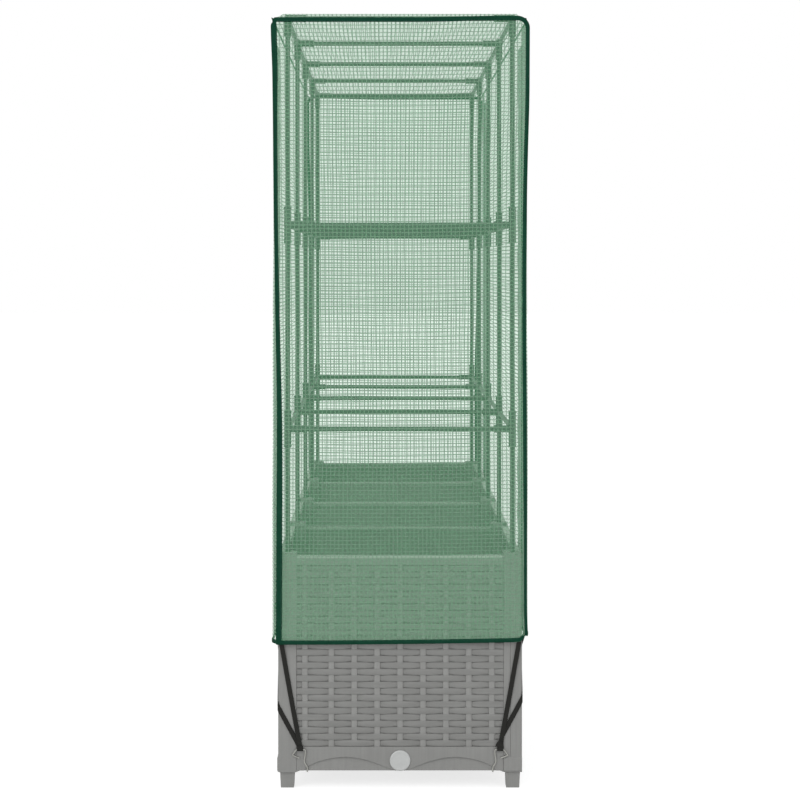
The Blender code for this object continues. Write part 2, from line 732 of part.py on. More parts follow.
zip_edge = ZIP_Y + ZIP_GAP / 2
side_along = lines([-CLOTH_END, -CLOTH_END + SEAM_FLAT, -CLOTH_END + DRAW_IN,
                    -zip_edge - ZIP_BAND - STEP, -zip_edge - ZIP_BAND, -zip_edge,
                    zip_edge, zip_edge + ZIP_BAND, zip_edge + ZIP_BAND + STEP,
                    CLOTH_END - DRAW_IN, CLOTH_END - SEAM_FLAT, CLOTH_END], 0.31)
side_up = lines([HEM - HEM_WIDTH / 2, HEM + HEM_WIDTH / 2, HEM + HEM_WIDTH / 2 + STEP,
                 (HEM + SIDE_TOP) / 2, DOOR_TOP, SIDE_TOP - SEAM_WIDTH - STEP,
                 SIDE_TOP - SEAM_WIDTH, SIDE_TOP], 0.34)


def side_bound(y, z):
    """Hem, top seam and the bands that carry the zips."""
    by_zip = zip_edge - 1e-6 < abs(y) < zip_edge + ZIP_BAND + 1e-6 and z < DOOR_TOP + 1e-6
    return z < HEM + HEM_WIDTH / 2 + 1e-6 or z > SIDE_TOP - SEAM_WIDTH - 1e-6 or by_zip


for side, sign in (("left", -1), ("right", 1)):
    mesh = cloth(f"cover_side_{side}", side_along, side_up, side_place(sign), side_bound,
                 lambda y, z: abs(y) > zip_edge or z > DOOR_TOP)
    piece(f"cover_side_{side}", mesh, MESH_FILM, smooth=True)


roof_edge = SIDE_CLOTH + CLOTH / 2
roof_end = CLOTH_END - CLOTH * 0.4
over_fit = FIT + CLOTH    # the roof stays level this far past a hoop's connectors


def roof_place(x, y):
    """The roof lies on the connectors and rails, sags in each bay and falls to its seams."""
    bay = abs(math.sin(math.pi * (y + HALF_Y) / MODULE_LENGTH))
    inside = 1 - ease(abs(x) / (HALF_X - TUBE))
    sag = (0.0055 * inside + 0.0012) * bay if abs(y) < HALF_Y else 0.0
    to_side = ease((abs(x) - HALF_X - over_fit) / (roof_edge - SEAM_WIDTH - STEP - HALF_X - over_fit))
    to_end = ease((abs(y) - HALF_Y - over_fit) / (roof_end - HALF_Y - over_fit))
    fall = 1 - (1 - to_side) * (1 - to_end)
    return x, y, ROOF - sag * (1 - fall) - (ROOF - ROOF_EDGE) * fall


roof_across = lines([-roof_edge, -roof_edge + SEAM_WIDTH, -roof_edge + SEAM_WIDTH + STEP, -HALF_X - over_fit,
                     0, HALF_X + over_fit, roof_edge - SEAM_WIDTH - STEP, roof_edge - SEAM_WIDTH, roof_edge],
                    SIDE_CLOTH)
roof_along = lines([-roof_end, -HALF_Y - over_fit, -HALF_Y + FIT]
                   + [hoop_y(number) + shift for number in range(1, MODULES) for shift in (-FIT, FIT)]
                   + [HALF_Y - FIT, HALF_Y + over_fit, roof_end], 0.18)
roof = cloth("cover_roof", roof_across, roof_along, roof_place,
             lambda x, y: abs(x) > roof_edge - SEAM_WIDTH - 1e-6)
piece("cover_roof", roof, MESH_FILM, smooth=True)


# Doors, zipped into the long sides, that roll up from the hem.
door_edge = ZIP_Y - ZIP_GAP / 2
door_bottom = HEM - HEM_WIDTH / 2 + DOOR_HEM + GAP
door_along = lines([-door_edge, -door_edge + ZIP_BAND, -door_edge + ZIP_BAND + STEP,
                    door_edge - ZIP_BAND - STEP, door_edge - ZIP_BAND, door_edge], 0.21)
door_up = lines([door_bottom, DOOR_TOP - GAP], 0.33)
for side, sign in (("left", -1), ("right", 1)):
    mesh = cloth(f"door_{side}", door_along, door_up, side_place(sign),
                 lambda y, z: abs(y) > door_edge - ZIP_BAND - 1e-6)
    piece(f"door_{side}", mesh, MESH_FILM, smooth=True)

    def hem_body(bm):
        half = door_edge - GAP
        block(bm, (-BINDING / 2, -half, -DOOR_HEM / 2), (BINDING / 2, half, DOOR_HEM / 2))

    hem = shape(f"door_hem_{side}", hem_body, round_edges=0.0007)
    piece(f"door_hem_{side}", hem, BOUND_FILM, (sign * SIDE_CLOTH, 0, door_bottom - GAP - DOOR_HEM / 2))


def slider_body(bm):
    """A slider's outer shell; local +X points away from the cloth."""
    block(bm, (0, -0.0045, -0.007), (0.0028, 0.0045, 0.007))


def slider_pull(bm):
    block(bm, (0.0016, -0.0025, -0.026), (0.0030, 0.0025, -0.004))
    corners = [edge for edge in bm.edges if abs(edge.verts[0].co.x - edge.verts[1].co.x) > 0.001]
    bmesh.ops.bevel(bm, geom=corners, offset=0.0012, segments=2, profile=0.5, affect="EDGES")


slider = shape("zip_slider", slider_body, [("UNION", tool("slider_pull", slider_pull))], 0.0009)
for side, sign in (("left", -1), ("right", 1)):
    for end, way in (("front", -1), ("rear", 1)):
        place = (sign * (SIDE_CLOTH + BINDING / 2 + GAP), way * ZIP_Y, HEM + 0.034)
        piece(f"zip_slider_{side}_{end}", slider, ZIP_METAL, place, 0 if sign > 0 else math.pi)


# Corner straps: a front leg over a leg that goes round the post to the long side's hem.
def ribbon(bm, stations, upright=0.0):
    """A flat strap through stations of centre and outward normal; its cross lines are square to it
    or, where it goes round an upright corner, stand upright with the given half height."""
    rings = []
    for number, (centre, normal) in enumerate(stations):
        before = Vector(stations[max(number - 1, 0)][0])
        after = Vector(stations[min(number + 1, len(stations) - 1)][0])
        outward = Vector(normal).normalized()
        square = (after - before).cross(outward).normalized() * STRAP / 2
        across = Vector((0, 0, upright)) if upright else square
        thick = outward * STRAP_THICK / 2
        middle = Vector(centre)
        rings.append([bm.verts.new(middle + way * across + up * thick)
                      for way, up in ((-1, -1), (1, -1), (1, 1), (-1, 1))])
    for first, second in zip(rings, rings[1:]):
        for corner in range(4):
            following = (corner + 1) % 4
            bm.faces.new((first[corner], first[following], second[following], second[corner]))
    bm.faces.new(rings[0][::-1])
    bm.faces.new(rings[-1])
    bmesh.ops.recalc_face_normals(bm, faces=bm.faces[:])


strap_low = 0.0660        # middle of the strap's lower end
strap_foot_x = HALF_X - POST_HALF - 0.0065
strap_top_x = SIDE_FACE - 0.0040
strap_plane = END_FACE + GAP + STRAP_THICK / 2 + STRAP_CLEAR
climb = 1.85              # the side leg rises this much for each unit along the faces
corner_high = strap_low + climb * (SIDE_FACE - strap_foot_x)
side_reach = (HEM - corner_high) / climb


def strap_front(sx, sy):
    """The leg from the front hem down to the hook."""
    def fill(bm):
        front = strap_plane + STRAP_THICK * 0.6
        behind_hem = END_CLOTH - BINDING / 2 - GAP - STRAP_THICK / 2
        outward = (0, sy, 0)
        ribbon(bm, [((sx * strap_top_x, sy * behind_hem, HEM + 0.003), outward),
                    ((sx * (strap_top_x - 0.0015), sy * behind_hem, HEM - 0.006), outward),
                    ((sx * (strap_top_x - 0.007), sy * front, HEM - 0.032), outward),
                    ((sx * strap_foot_x, sy * front, strap_low), outward)])
    return fill


def strap_side(sx, sy):
    """The leg round the post's corner up to the side hem."""
    def fill(bm):
        beside = SIDE_FACE + GAP + STRAP_THICK / 2 + STRAP_CLEAR
        under_hem = SIDE_CLOTH - BINDING / 2 - GAP - STRAP_THICK / 2
        bend = 0.0024
        start = strap_foot_x + 0.0042
        half = STRAP / 2 * math.hypot(1, climb)
        ribbon(bm, [
            ((sx * start, sy * strap_plane, strap_low + climb * (start - strap_foot_x)), (0, sy, 0)),
            ((sx * (SIDE_FACE - bend), sy * strap_plane, corner_high - climb * bend), (0, sy, 0)),
            ((sx * (beside - bend * 0.25), sy * (strap_plane - bend * 0.25), corner_high), (sx, sy, 0)),
            ((sx * beside, sy * (END_FACE - bend), corner_high + climb * bend), (sx, 0, 0)),
            ((sx * beside, sy * (END_FACE - side_reach * 0.75), HEM - side_reach * 0.25 * climb), (sx, 0, 0)),
            ((sx * under_hem, sy * (END_FACE - side_reach), HEM), (sx, 0, 0))], half)
    return fill


def hook_points(sx, sy):
    """Wire hook: a bent eye under the strap, a shank down the rail and a claw round its lower edge."""
    plane = END_FACE + GAP + WIRE
    eye = strap_low - STRAP / 12 - WIRE - GAP * 2
    foot = RAIL_BOTTOM - GAP - WIRE
    inside = END_FACE - PANEL_DEPTH - GAP - WIRE
    bend = WIRE * 0.8
    bent_eye = [(0.0012, -0.0141), (0.0116, -0.0102), (0.0127, -0.0090), (0.0060, -0.0006), (0.0040, 0),
                (-0.0050, 0), (-0.0070, -0.0012), (-0.0078, -0.0090), (-0.0064, -0.0181),
                (-0.0085, -0.0242), (-0.0110, -0.0280)]
    route = [(strap_foot_x + out, plane, eye + up) for out, up in bent_eye]
    shank = route[-1][0]
    route += [(shank, plane, foot + bend), (shank, plane - bend, foot), (shank, inside + bend, foot),
              (shank, inside, foot + bend), (shank, inside, foot + bend * 2)]
    return [(sx * x, sy * y, z) for x, y, z in route]


def hook_wire(name, points):
    curve = bpy.data.curves.new(name, "CURVE")
    curve.dimensions = "3D"
    curve.bevel_depth = WIRE
    curve.bevel_resolution = 1
    curve.use_fill_caps = True
    spline = curve.splines.new("POLY")
    spline.points.add(len(points) - 1)
    for point, place in zip(spline.points, points):
        point.co = (*place, 1)
    wire = bpy.data.objects.new(name, curve)
    parts.objects.link(wire)
    curve.materials.append(HOOK_WIRE)


for side, sx in (("left", -1), ("right", 1)):
    for end, sy in (("front", -1), ("rear", 1)):
        corner = f"{end}_{side}"
        strap = shape(f"strap_{corner}", strap_side(sx, sy),
                      [("UNION", tool(f"strap_leg_{corner}", strap_front(sx, sy)))])
        piece(f"strap_{corner}", strap, ELASTIC)
        hook_wire(f"hook_{corner}", hook_points(sx, sy))
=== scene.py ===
import math

import bmesh
import bpy
from mathutils import Matrix, Vector, noise


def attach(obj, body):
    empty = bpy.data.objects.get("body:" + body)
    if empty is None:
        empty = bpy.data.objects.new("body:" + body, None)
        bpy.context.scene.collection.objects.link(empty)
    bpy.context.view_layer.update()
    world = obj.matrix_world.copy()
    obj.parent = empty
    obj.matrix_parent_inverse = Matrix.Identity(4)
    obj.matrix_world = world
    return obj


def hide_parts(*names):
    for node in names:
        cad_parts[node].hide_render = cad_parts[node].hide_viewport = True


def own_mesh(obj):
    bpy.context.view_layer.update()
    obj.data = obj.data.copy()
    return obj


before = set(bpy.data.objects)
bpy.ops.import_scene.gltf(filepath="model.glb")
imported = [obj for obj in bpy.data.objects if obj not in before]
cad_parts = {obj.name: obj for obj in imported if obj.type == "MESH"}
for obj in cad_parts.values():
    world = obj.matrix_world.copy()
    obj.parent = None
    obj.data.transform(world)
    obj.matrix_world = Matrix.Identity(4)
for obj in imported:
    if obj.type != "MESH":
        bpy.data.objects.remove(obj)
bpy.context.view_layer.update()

# ------------------------------------------------
# Studio. A plain white floor and an even white sky, with one large soft lamp ahead and to the
# left. The camera stands level with the middle bars, in line with the row, as a shift lens.

scene = bpy.context.scene
scene.view_settings.view_transform = "Standard"


def stand(name, data, place=(0, 0, 0)):
    """Puts a new object into the scene."""
    made = bpy.data.objects.new(name, data)
    made.location = place
    scene.collection.objects.link(made)
    return made


camera_data = bpy.data.cameras.new("studio_camera")
camera_data.lens = 88.53
camera_data.sensor_width = 36.0
camera_data.shift_x = 0.02125
camera_data.shift_y = -0.1703
scene.camera = stand("studio_camera", camera_data, (-0.028, -3.981, 0.860))
scene.camera.rotation_euler = (math.pi / 2, 0, 0)


def tone(code):
    """An sRGB hex colour as linear red, green and blue, with 1 for alpha."""
    shares = [int(code[place:place + 2], 16) / 255 for place in (1, 3, 5)]
    return (*[c / 12.92 if c <= 0.04045 else ((c + 0.055) / 1.055) ** 2.4 for c in shares], 1.0)


def add(tree, kind, inputs=None, feeds=None, **settings):
    """Adds one node: inputs gives its sockets a value, a node or an output; it leads to feeds."""
    made = tree.nodes.new("ShaderNode" + kind)
    for name, value in settings.items():
        setattr(made, name, value)
    wires = [(value, made.inputs[socket]) for socket, value in (inputs or {}).items()]
    for source, socket in wires + ([(made, feeds)] if feeds else []):
        if isinstance(source, bpy.types.Node):
            source = next(output for output in source.outputs if output.enabled)
        if isinstance(source, bpy.types.NodeSocket):
            tree.links.new(source, socket)
        else:
            socket.default_value = source
    return made


def blend(tree, share, first, second, feeds=None):
    """Mixes two colours, each a hex colour or a node."""
    first, second = [tone(colour) if isinstance(colour, str) else colour for colour in (first, second)]
    return add(tree, "Mix", {"Factor": share, 6: first, 7: second}, feeds, data_type="RGBA")


def mottle(tree, place, scale, detail=2.0):
    """Noise all over: its scale is how many cells stand in each metre."""
    return add(tree, "TexNoise", {"Vector": place, "Scale": scale, "Detail": detail})


def bump(tree, height, distance, strength, skin):
    """Raises and sinks a shader's surface by a height."""
    add(tree, "Bump", {"Height": height, "Distance": distance, "Strength": strength}, skin["Normal"])


def seen_directly(tree):
    """1 for what the lens, a gloss or a clear piece sees, 0 for what only lights the object."""
    path = add(tree, "LightPath").outputs
    lens_or_gloss = add(tree, "Math", {0: path["Is Camera Ray"], 1: path["Is Glossy Ray"]},
                        operation="MAXIMUM")
    return add(tree, "Math", {0: lens_or_gloss, 1: path["Is Transmission Ray"]}, operation="MAXIMUM")


SKY_LIGHT = 0.84          # what the sky gives the object; it shows as pure white

sky = bpy.data.worlds.new("studio_sky")
sky.use_nodes = True
tree = sky.node_tree
tree.nodes.clear()
strength = add(tree, "Math", {0: seen_directly(tree), 1: 1.0 - SKY_LIGHT, 2: SKY_LIGHT},
               operation="MULTIPLY_ADD")
shade = add(tree, "Background", {"Color": (1, 1, 1, 1), "Strength": strength})
add(tree, "OutputWorld", {"Surface": shade})
scene.world = sky

FLOOR_HALF = 30.0
FLOOR_GLOW = 0.76         # seen directly, so that the open floor is white and the shadow stays

floor_paint = bpy.data.materials.new("white_studio_floor")
floor_paint.use_nodes = True
tree = floor_paint.node_tree
tree.nodes.clear()
direct = seen_directly(tree)
colour = add(tree, "MapRange", {"Value": direct, "To Min": 0.78, "To Max": 0.46})
matt = add(tree, "BsdfDiffuse", {"Color": colour})
strength = add(tree, "Math", {0: direct, 1: FLOOR_GLOW}, operation="MULTIPLY")
glow = add(tree, "Emission", {"Strength": strength})
both = add(tree, "AddShader", {0: matt, 1: glow})
add(tree, "OutputMaterial", {"Surface": both})

floor_mesh = bpy.data.meshes.new("studio_floor")
floor_mesh.from_pydata([(x * FLOOR_HALF, y * FLOOR_HALF, 0) for x, y in ((-1, -1), (1, -1), (1, 1), (-1, 1))],
                       [], [(0, 1, 2, 3)])
floor_mesh.materials.append(floor_paint)
stand("studio_floor", floor_mesh)

lamp_data = bpy.data.lights.new("soft_lamp", "AREA")
lamp_data.shape = "RECTANGLE"
lamp_data.size = 2.6
lamp_data.size_y = 2.0
lamp_data.energy = 34.0
lamp = stand("soft_lamp", lamp_data, (-1.9, -3.4, 2.7))
lamp.rotation_euler = (Vector((0, 0, 0.6)) - lamp.location).to_track_quat("-Z", "Y").to_euler()

# ------------------------------------------------
# Posts. Square moulded polypropylene posts on tapered feet, ten in two rows; the walls slide
# down grooves in their sides. The moulding tool's fine spark texture takes the shine off.


def finish(name, **constants):
    """A material with one Principled shader, its constant values set on the shader's sockets."""
    made = bpy.data.materials.new(name)
    made.use_nodes = True
    made.node_tree.nodes.clear()
    shader = add(made.node_tree, "BsdfPrincipled")
    for socket, value in constants.items():
        shader.inputs[socket.replace("_", " ")].default_value = value
    add(made.node_tree, "OutputMaterial", {"Surface": shader})
    return made, made.node_tree, shader.inputs


SPARK_GRAIN = 1 / 0.0009  # grains of the tool's texture for each metre, drawn three times coarser
PLASTIC_EDGE = 0.0004     # how far the moulding's edges are eased
NO_RIM = 9.0              # a height above everything, for pieces without the painted highlight along their top edge


def moulded(name, colour, lighter, rough, rim=NO_RIM):
    """Moulded polypropylene: faint clouds and streaks of flow in a dull grey with painted shade on
    faces turned downwards, a fine grain that breaks up the gloss, and a painted highlight along the top
    edges."""
    made, tree, skin = finish(name, IOR=1.49)
    place = add(tree, "TexCoord").outputs["Object"]
    clouds = mottle(tree, place, 22.0, 3.0)
    drawn = add(tree, "Mapping", {"Vector": place, "Scale": (260, 260, 9)})
    streaks = mottle(tree, drawn, 1.0)
    both = add(tree, "Math", {0: clouds, 1: streaks}, operation="ADD")
    share = add(tree, "MapRange", {"Value": both, "From Min": 0.7, "From Max": 1.3})
    hue = blend(tree, share, colour, lighter)
    surface = add(tree, "NewGeometry").outputs
    height = add(tree, "SeparateXYZ", {"Vector": surface["Position"]}).outputs["Z"]
    # Painted highlight: from a few millimetres under the rim height up, the grey turns pale, standing in for
    # light on the top faces.
    painted_highlight_share = add(tree, "MapRange", {"Value": height, "From Min": rim - 0.0042, "From Max": rim - 0.0022})
    hue_with_painted_highlight = blend(tree, painted_highlight_share, hue, "#C2C4C0")
    # Painted shade: faces turned downwards are darkened, by up to 7 percent.
    up = add(tree, "SeparateXYZ", {"Vector": surface["Normal"]}).outputs["Z"]
    painted_underside_shade = add(tree, "MapRange", {"Value": up, "From Min": -0.09, "From Max": -0.03,
                                       "To Min": 0.93, "To Max": 1.0})
    add(tree, "VectorMath", {0: hue_with_painted_highlight, "Scale": painted_underside_shade}, skin["Base Color"], operation="SCALE")
    grain = mottle(tree, place, SPARK_GRAIN)
    add(tree, "MapRange", {"Value": grain, "From Min": 0.3, "From Max": 0.7,
                           "To Min": rough - 0.06, "To Max": rough + 0.06}, skin["Roughness"])
    eased = add(tree, "Bevel", {"Radius": PLASTIC_EDGE}, samples=4)
    add(tree, "Bump", {"Height": grain, "Distance": 0.00006, "Strength": 0.5, "Normal": eased},
        skin["Normal"])
    return made


def dress(node, material):
    """Gives a CAD piece that keeps its shape its real finish."""
    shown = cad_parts[node]
    shown.data.materials.clear()
    shown.data.materials.append(material)


MODULES = 4
MODULE = 0.370            # post to post, along the row and across it
HALF_X = MODULE / 2
HALF_Y = MODULE * MODULES / 2
POST_HALF = 0.015
SIDES = (("left", -1), ("right", 1))
ENDS = (("front", -1), ("rear", 1))
GREY = ("#8A8A88", "#929290")


def hoop_y(number):
    """Where a pair of posts and their hoop stand; 0 is the front one."""
    return number * MODULE - HALF_Y


grey_polypropylene = moulded("moulded_grey_polypropylene", *GREY, 0.55)
for side, sign in SIDES:
    for number in range(1, MODULES + 2):
        dress(f"post_{side}_{number}", grey_polypropylene)

# ------------------------------------------------
# Walls. Each is one polypropylene moulding with the look of split-cane basketwork: flat strands
# go over and under nine stakes in a plain weave, between a plinth rail and a slim top rail.

WALL_TOP = 0.381          # the upper edges carry a painted highlight, which shows as a pale line
GAP = 0.0003              # room between pieces that rest on each other
SIDE_FACE = HALF_X + POST_HALF
END_FACE = HALF_Y + POST_HALF
FIELD_LOW = 0.0680
FIELD_HIGH = 0.366
FIELD_HALF = HALF_X - POST_HALF - GAP
FIELD_SURFACE = 0.0035    # behind the rails' faces
STRAND_ROWS = 28
STRAND_PITCH = (FIELD_HIGH - FIELD_LOW) / STRAND_ROWS
STRAND_HALF = 0.0046
STRAND_SPREAD = 0.00058   # a strand is this much taller each way where nothing presses on it
STRAND_UNEVEN = 0.00005
STRAND_CROWN = 0.0006     # its face falls back this far towards its edges
STRAND_EDGE = 0.0003      # and its edges are rounded by this much more
STAKE_PITCH = 0.0376
STAKE_HALF = 0.0047
STAKES_EACH_WAY = 4
WIDER_BAY = 0.0057
STAKE_FACE = 0.0012
OVER_FACE = 0.0003        # a strand's face where it passes over a stake
UNDER_FACE = 0.0029       # and where it passes under one
ROOT = 0.0002             # how deep strands and stakes are set into what is behind them
BAY_STEPS = 8
OUTER_STOPS = (-4.16, 4.22)   # the strands' last bend, between the outer stakes and the posts

# The walls' top edges carry the painted highlight.
wall_with_painted_highlight = moulded("grey_polypropylene_wall_with_painted_rim_highlight", *GREY, 0.55, WALL_TOP)
cane_strand, tree, skin = finish("moulded_cane_strand", IOR=1.49, Roughness=0.58)
place = add(tree, "TexCoord").outputs["Object"]
spread = add(tree, "Mapping", {"Vector": place, "Scale": (14, 14, 95)})
patches = mottle(tree, spread, 1.0, 3.0)
share = add(tree, "MapRange", {"Value": patches, "From Min": 0.32, "From Max": 0.68})
blend(tree, share, "#828280", "#8C8C8A", skin["Base Color"])
# Each strand is five reeds wide, 2.1 mm apart, which the moulding copies as shallow grooves.
height = add(tree, "SeparateXYZ", {"Vector": place}).outputs["Z"]
from_low = add(tree, "Math", {0: height, 1: FIELD_LOW}, operation="SUBTRACT")
wave = add(tree, "Math", {0: from_low, 1: STRAND_PITCH / 10}, operation="PINGPONG")
groove = add(tree, "MapRange", {"Value": wave, "From Max": 0.0006}, interpolation_type="SMOOTHSTEP")
bump(tree, groove, 0.00022, 0.7, skin)
cane_stake = moulded("moulded_cane_stake", "#8E8E8C", "#969694", 0.5)


def ease(value):
    """A smooth step from 0 to 1."""
    value = min(max(value, 0.0), 1.0)
    return value * value * (3 - 2 * value)


def along_of(index):
    """Where a stake stands, across the wall; index 0 is the middle one, the first bay is wider."""
    return index * STAKE_PITCH - WIDER_BAY * (1 - ease((index + 3.7) / 0.4))


def loft(bm, rings, coat=0, closed=False):
    """A skin over rings of points, with flat ends or closed to a hoop; gives the faces round it."""
    rings = [[bm.verts.new(spot) for spot in ring] for ring in rings]
    ends = [] if closed else [bm.faces.new(rings[0][::-1]), bm.faces.new(rings[-1])]
    faces = []
    for first, second in zip(rings, rings[1:] + (rings[:1] if closed else [])):
        for corner in range(len(first)):
            after = (corner + 1) % len(first)
            faces.append(bm.faces.new((first[corner], first[after], second[after], second[corner])))
    for face in ends + faces:
        face.material_index = coat
    return faces


def mesh_of(name, bm, coats, sharp=40):
    """Turns a bmesh into a smooth-shaded mesh with its materials."""
    mesh = bpy.data.meshes.new(name)
    bm.to_mesh(mesh)
    bm.free()
    for coat in coats:
        mesh.materials.append(coat)
    mesh.shade_smooth()
    mesh.set_sharp_from_angle(angle=math.radians(sharp))
    return mesh


def woven_wall():
    """The strands and stakes of one wall; origin under the middle of its outer face, +Y inwards."""
    bm = bmesh.new()
    back = FIELD_SURFACE + ROOT
    reach = STAKES_EACH_WAY * BAY_STEPS
    stops = [-(FIELD_HALF - WIDER_BAY) / STAKE_PITCH, OUTER_STOPS[0]]
    stops += [number / BAY_STEPS for number in range(-reach, reach + 1)]
    stops += [OUTER_STOPS[1], FIELD_HALF / STAKE_PITCH]
    for row in range(STRAND_ROWS):
        middle = FIELD_LOW + STRAND_PITCH * (row + 0.5)
        rings = []
        for stop in stops:
            over = (1 + math.cos(math.pi * (stop + row))) / 2
            face = UNDER_FACE + (OVER_FACE - UNDER_FACE) * (1 - (1 - over) ** 2.2)
            half = STRAND_HALF + STRAND_SPREAD * min(1.0, over / 0.2)
            half += STRAND_UNEVEN * math.sin(3 * stop + row)
            ring = []
            for share in (-1.0, -0.86, -0.5, 0.0, 0.5, 0.86, 1.0):
                fall = STRAND_CROWN * share ** 4 + STRAND_EDGE * (abs(share) > 0.99)
                ring.append((along_of(stop), face + fall, middle + share * half))
            rings.append(ring + [(along_of(stop), back, middle + way * half) for way in (1, -1)])
        loft(bm, rings)
    for index in range(-STAKES_EACH_WAY, STAKES_EACH_WAY + 1):
        section = ((-1, back), (-1, STAKE_FACE + 0.0006), (-0.8, STAKE_FACE + 0.0001), (0, STAKE_FACE),
                   (0.8, STAKE_FACE + 0.0001), (1, STAKE_FACE + 0.0006), (1, back))
        loft(bm, [[(along_of(index) + STAKE_HALF * across, depth, z) for across, depth in section]
                  for z in (FIELD_LOW - ROOT, FIELD_HIGH + ROOT)], 1)
    bmesh.ops.recalc_face_normals(bm, faces=bm.faces[:])
    return mesh_of("woven_wall", bm, [cane_strand, cane_stake], 50)


def place_piece(name, mesh, body, where=None, node=None):
    """Shows one finished piece, riding on its body, in place of a CAD node where one is named."""
    made = stand(name, mesh)
    if where is not None:
        made.matrix_world = where
    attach(made, body)
    if node:
        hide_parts(node)
    return made


wall_mesh = woven_wall()
END_TURN = {sign: Matrix.Rotation(0 if sign < 0 else math.pi, 4, "Z") for _, sign in ENDS}
for end, sign in ENDS:
    dress(f"end_panel_{end}", wall_with_painted_highlight)
    place_piece(f"woven_wall_{end}", wall_mesh, "root",
                Matrix.Translation((0, sign * END_FACE, 0)) @ END_TURN[sign])
for side, sign in SIDES:
    turn = Matrix.Rotation(math.copysign(math.pi / 2, sign), 4, "Z")
    for number in range(1, MODULES + 1):
        dress(f"side_panel_{side}_{number}", wall_with_painted_highlight)
        place_piece(f"woven_wall_{side}_{number}", wall_mesh, "root",
                    Matrix.Translation((sign * SIDE_FACE, hoop_y(number - 0.5), 0)) @ turn)

# ------------------------------------------------
# Dividers and floor trays. Plain polypropylene plates that drop between the posts; the trays are
# a recycled grade, darker and duller, and lie on ledges along the foot of the walls.

DIVIDER_TOP = 0.377
# The dividers' top edges carry the same painted highlight.
divider_with_painted_highlight = moulded("grey_polypropylene_divider_with_painted_rim_highlight", *GREY, 0.55, DIVIDER_TOP)
recycled_polypropylene = moulded("moulded_recycled_polypropylene", "#7B7C79", "#858683", 0.65)
for number in range(1, MODULES):
    dress(f"divider_{number}", divider_with_painted_highlight)
for number in range(1, MODULES + 1):
    dress(f"floor_tray_{number}", recycled_polypropylene)

# ------------------------------------------------
# Drain plugs. A pale polyethylene cap with a rolled edge on a short stem, pushed into the hole in
# the middle of each end's plinth rail.

PLUG_HEIGHT = 0.0455
PLUG_RADIUS = 0.017
PLUG_STEM = 0.009
PLUG_STEM_END = 0.0113    # the cap's profile is measured on from here

# Soft and waxy to the eye, with faint clouds and a grain that is too fine to see one by one.
pale_polyethylene, tree, skin = finish("moulded_pale_polyethylene", IOR=1.51, Roughness=0.38)
place = add(tree, "TexCoord").outputs["Object"]
clouds = mottle(tree, place, 120.0, 3.0)
blend(tree, clouds, "#C0C2C1", "#C9CBCA", skin["Base Color"])
grain = mottle(tree, place, 1800.0)
bump(tree, grain, 0.00004, 0.4, skin)


def turned(bm, start, way, profile, sides=20, coat=0):
    """A round piece along a direction; profile lists how far along it and how thick, ends closed."""
    start, way = Vector(start), Vector(way).normalized()
    across = way.orthogonal().normalized()
    other = way.cross(across)
    angles = [2 * math.pi * number / sides for number in range(sides)]
    loft(bm, [[start + way * along + (across * math.cos(angle) + other * math.sin(angle)) * radius
               for angle in angles] for along, radius in profile], coat)


plug_profile = [(0, PLUG_STEM - 0.0012), (0.0012, PLUG_STEM), (PLUG_STEM_END, PLUG_STEM)]
for along, inside in ((0, 0.0003), (0.0007, 0), (0.0015, 0.0002), (0.0021, 0.0011), (0.00235, 0.0024),
                      (0.0020, 0.0036), (0.0022, 0.00765), (0.0024, 0.0164)):
    plug_profile.append((PLUG_STEM_END + along, PLUG_RADIUS - inside))
bm = bmesh.new()
turned(bm, (0, PLUG_STEM_END, 0), (0, -1, 0), plug_profile, 48)
plug_mesh = mesh_of("drain_plug", bm, [pale_polyethylene], 60)
for end, sign in ENDS:
    place_piece(f"plug_cap_{end}", plug_mesh, f"{end}_plug",
                Matrix.Translation((0, sign * (END_FACE + GAP), PLUG_HEIGHT)) @ END_TURN[sign],
                f"drain_plug_{end}")

# ------------------------------------------------
# Frame. Steel tube, 8 mm, coated in grey polyester powder, cut to length and pushed into moulded
# nylon connectors; each upright drops 40 mm into its post and carries three bars and three rails.

POST_TOP = 0.386
POST_SOCKET = 0.040
TUBE = 0.004
FIT = 0.006               # the connectors' radius
BARS = (0.588, 0.924, 1.264)
SLEEVE = 0.030
ARM = 0.030
TUBE_START = 0.014        # bars and rails start this far inside the connector

# Even and dull grey, with the slight orange peel of baked powder.
powder_coat, tree, skin = finish("powder_coated_steel_tube", IOR=1.5, Specular_IOR_Level=0.3)
place = add(tree, "TexCoord").outputs["Object"]
cloud = mottle(tree, place, 30.0)
blend(tree, cloud, "#454746", "#4D4F4E", skin["Base Color"])
peel = mottle(tree, place, 700.0)
add(tree, "MapRange", {"Value": peel, "To Min": 0.32, "To Max": 0.46}, skin["Roughness"])
bump(tree, peel, 0.00005, 0.5, skin)
grey_nylon = moulded("moulded_grey_nylon", "#454746", "#4D4F4E", 0.62)


def mouth(at, radius, way):
    """The collar round a connector's mouth; way is 1 where the sleeve starts and -1 where it ends."""
    collar = radius + 0.0005
    steps = [(at, radius - 0.0006), (at + way * 0.0005, collar), (at + way * 0.0030, collar),
             (at + way * 0.0036, radius)]
    return steps[::way]


def tube_run(length):
    """The open profile of a straight tube, for turned."""
    return [(0, TUBE), (length, TUBE)]


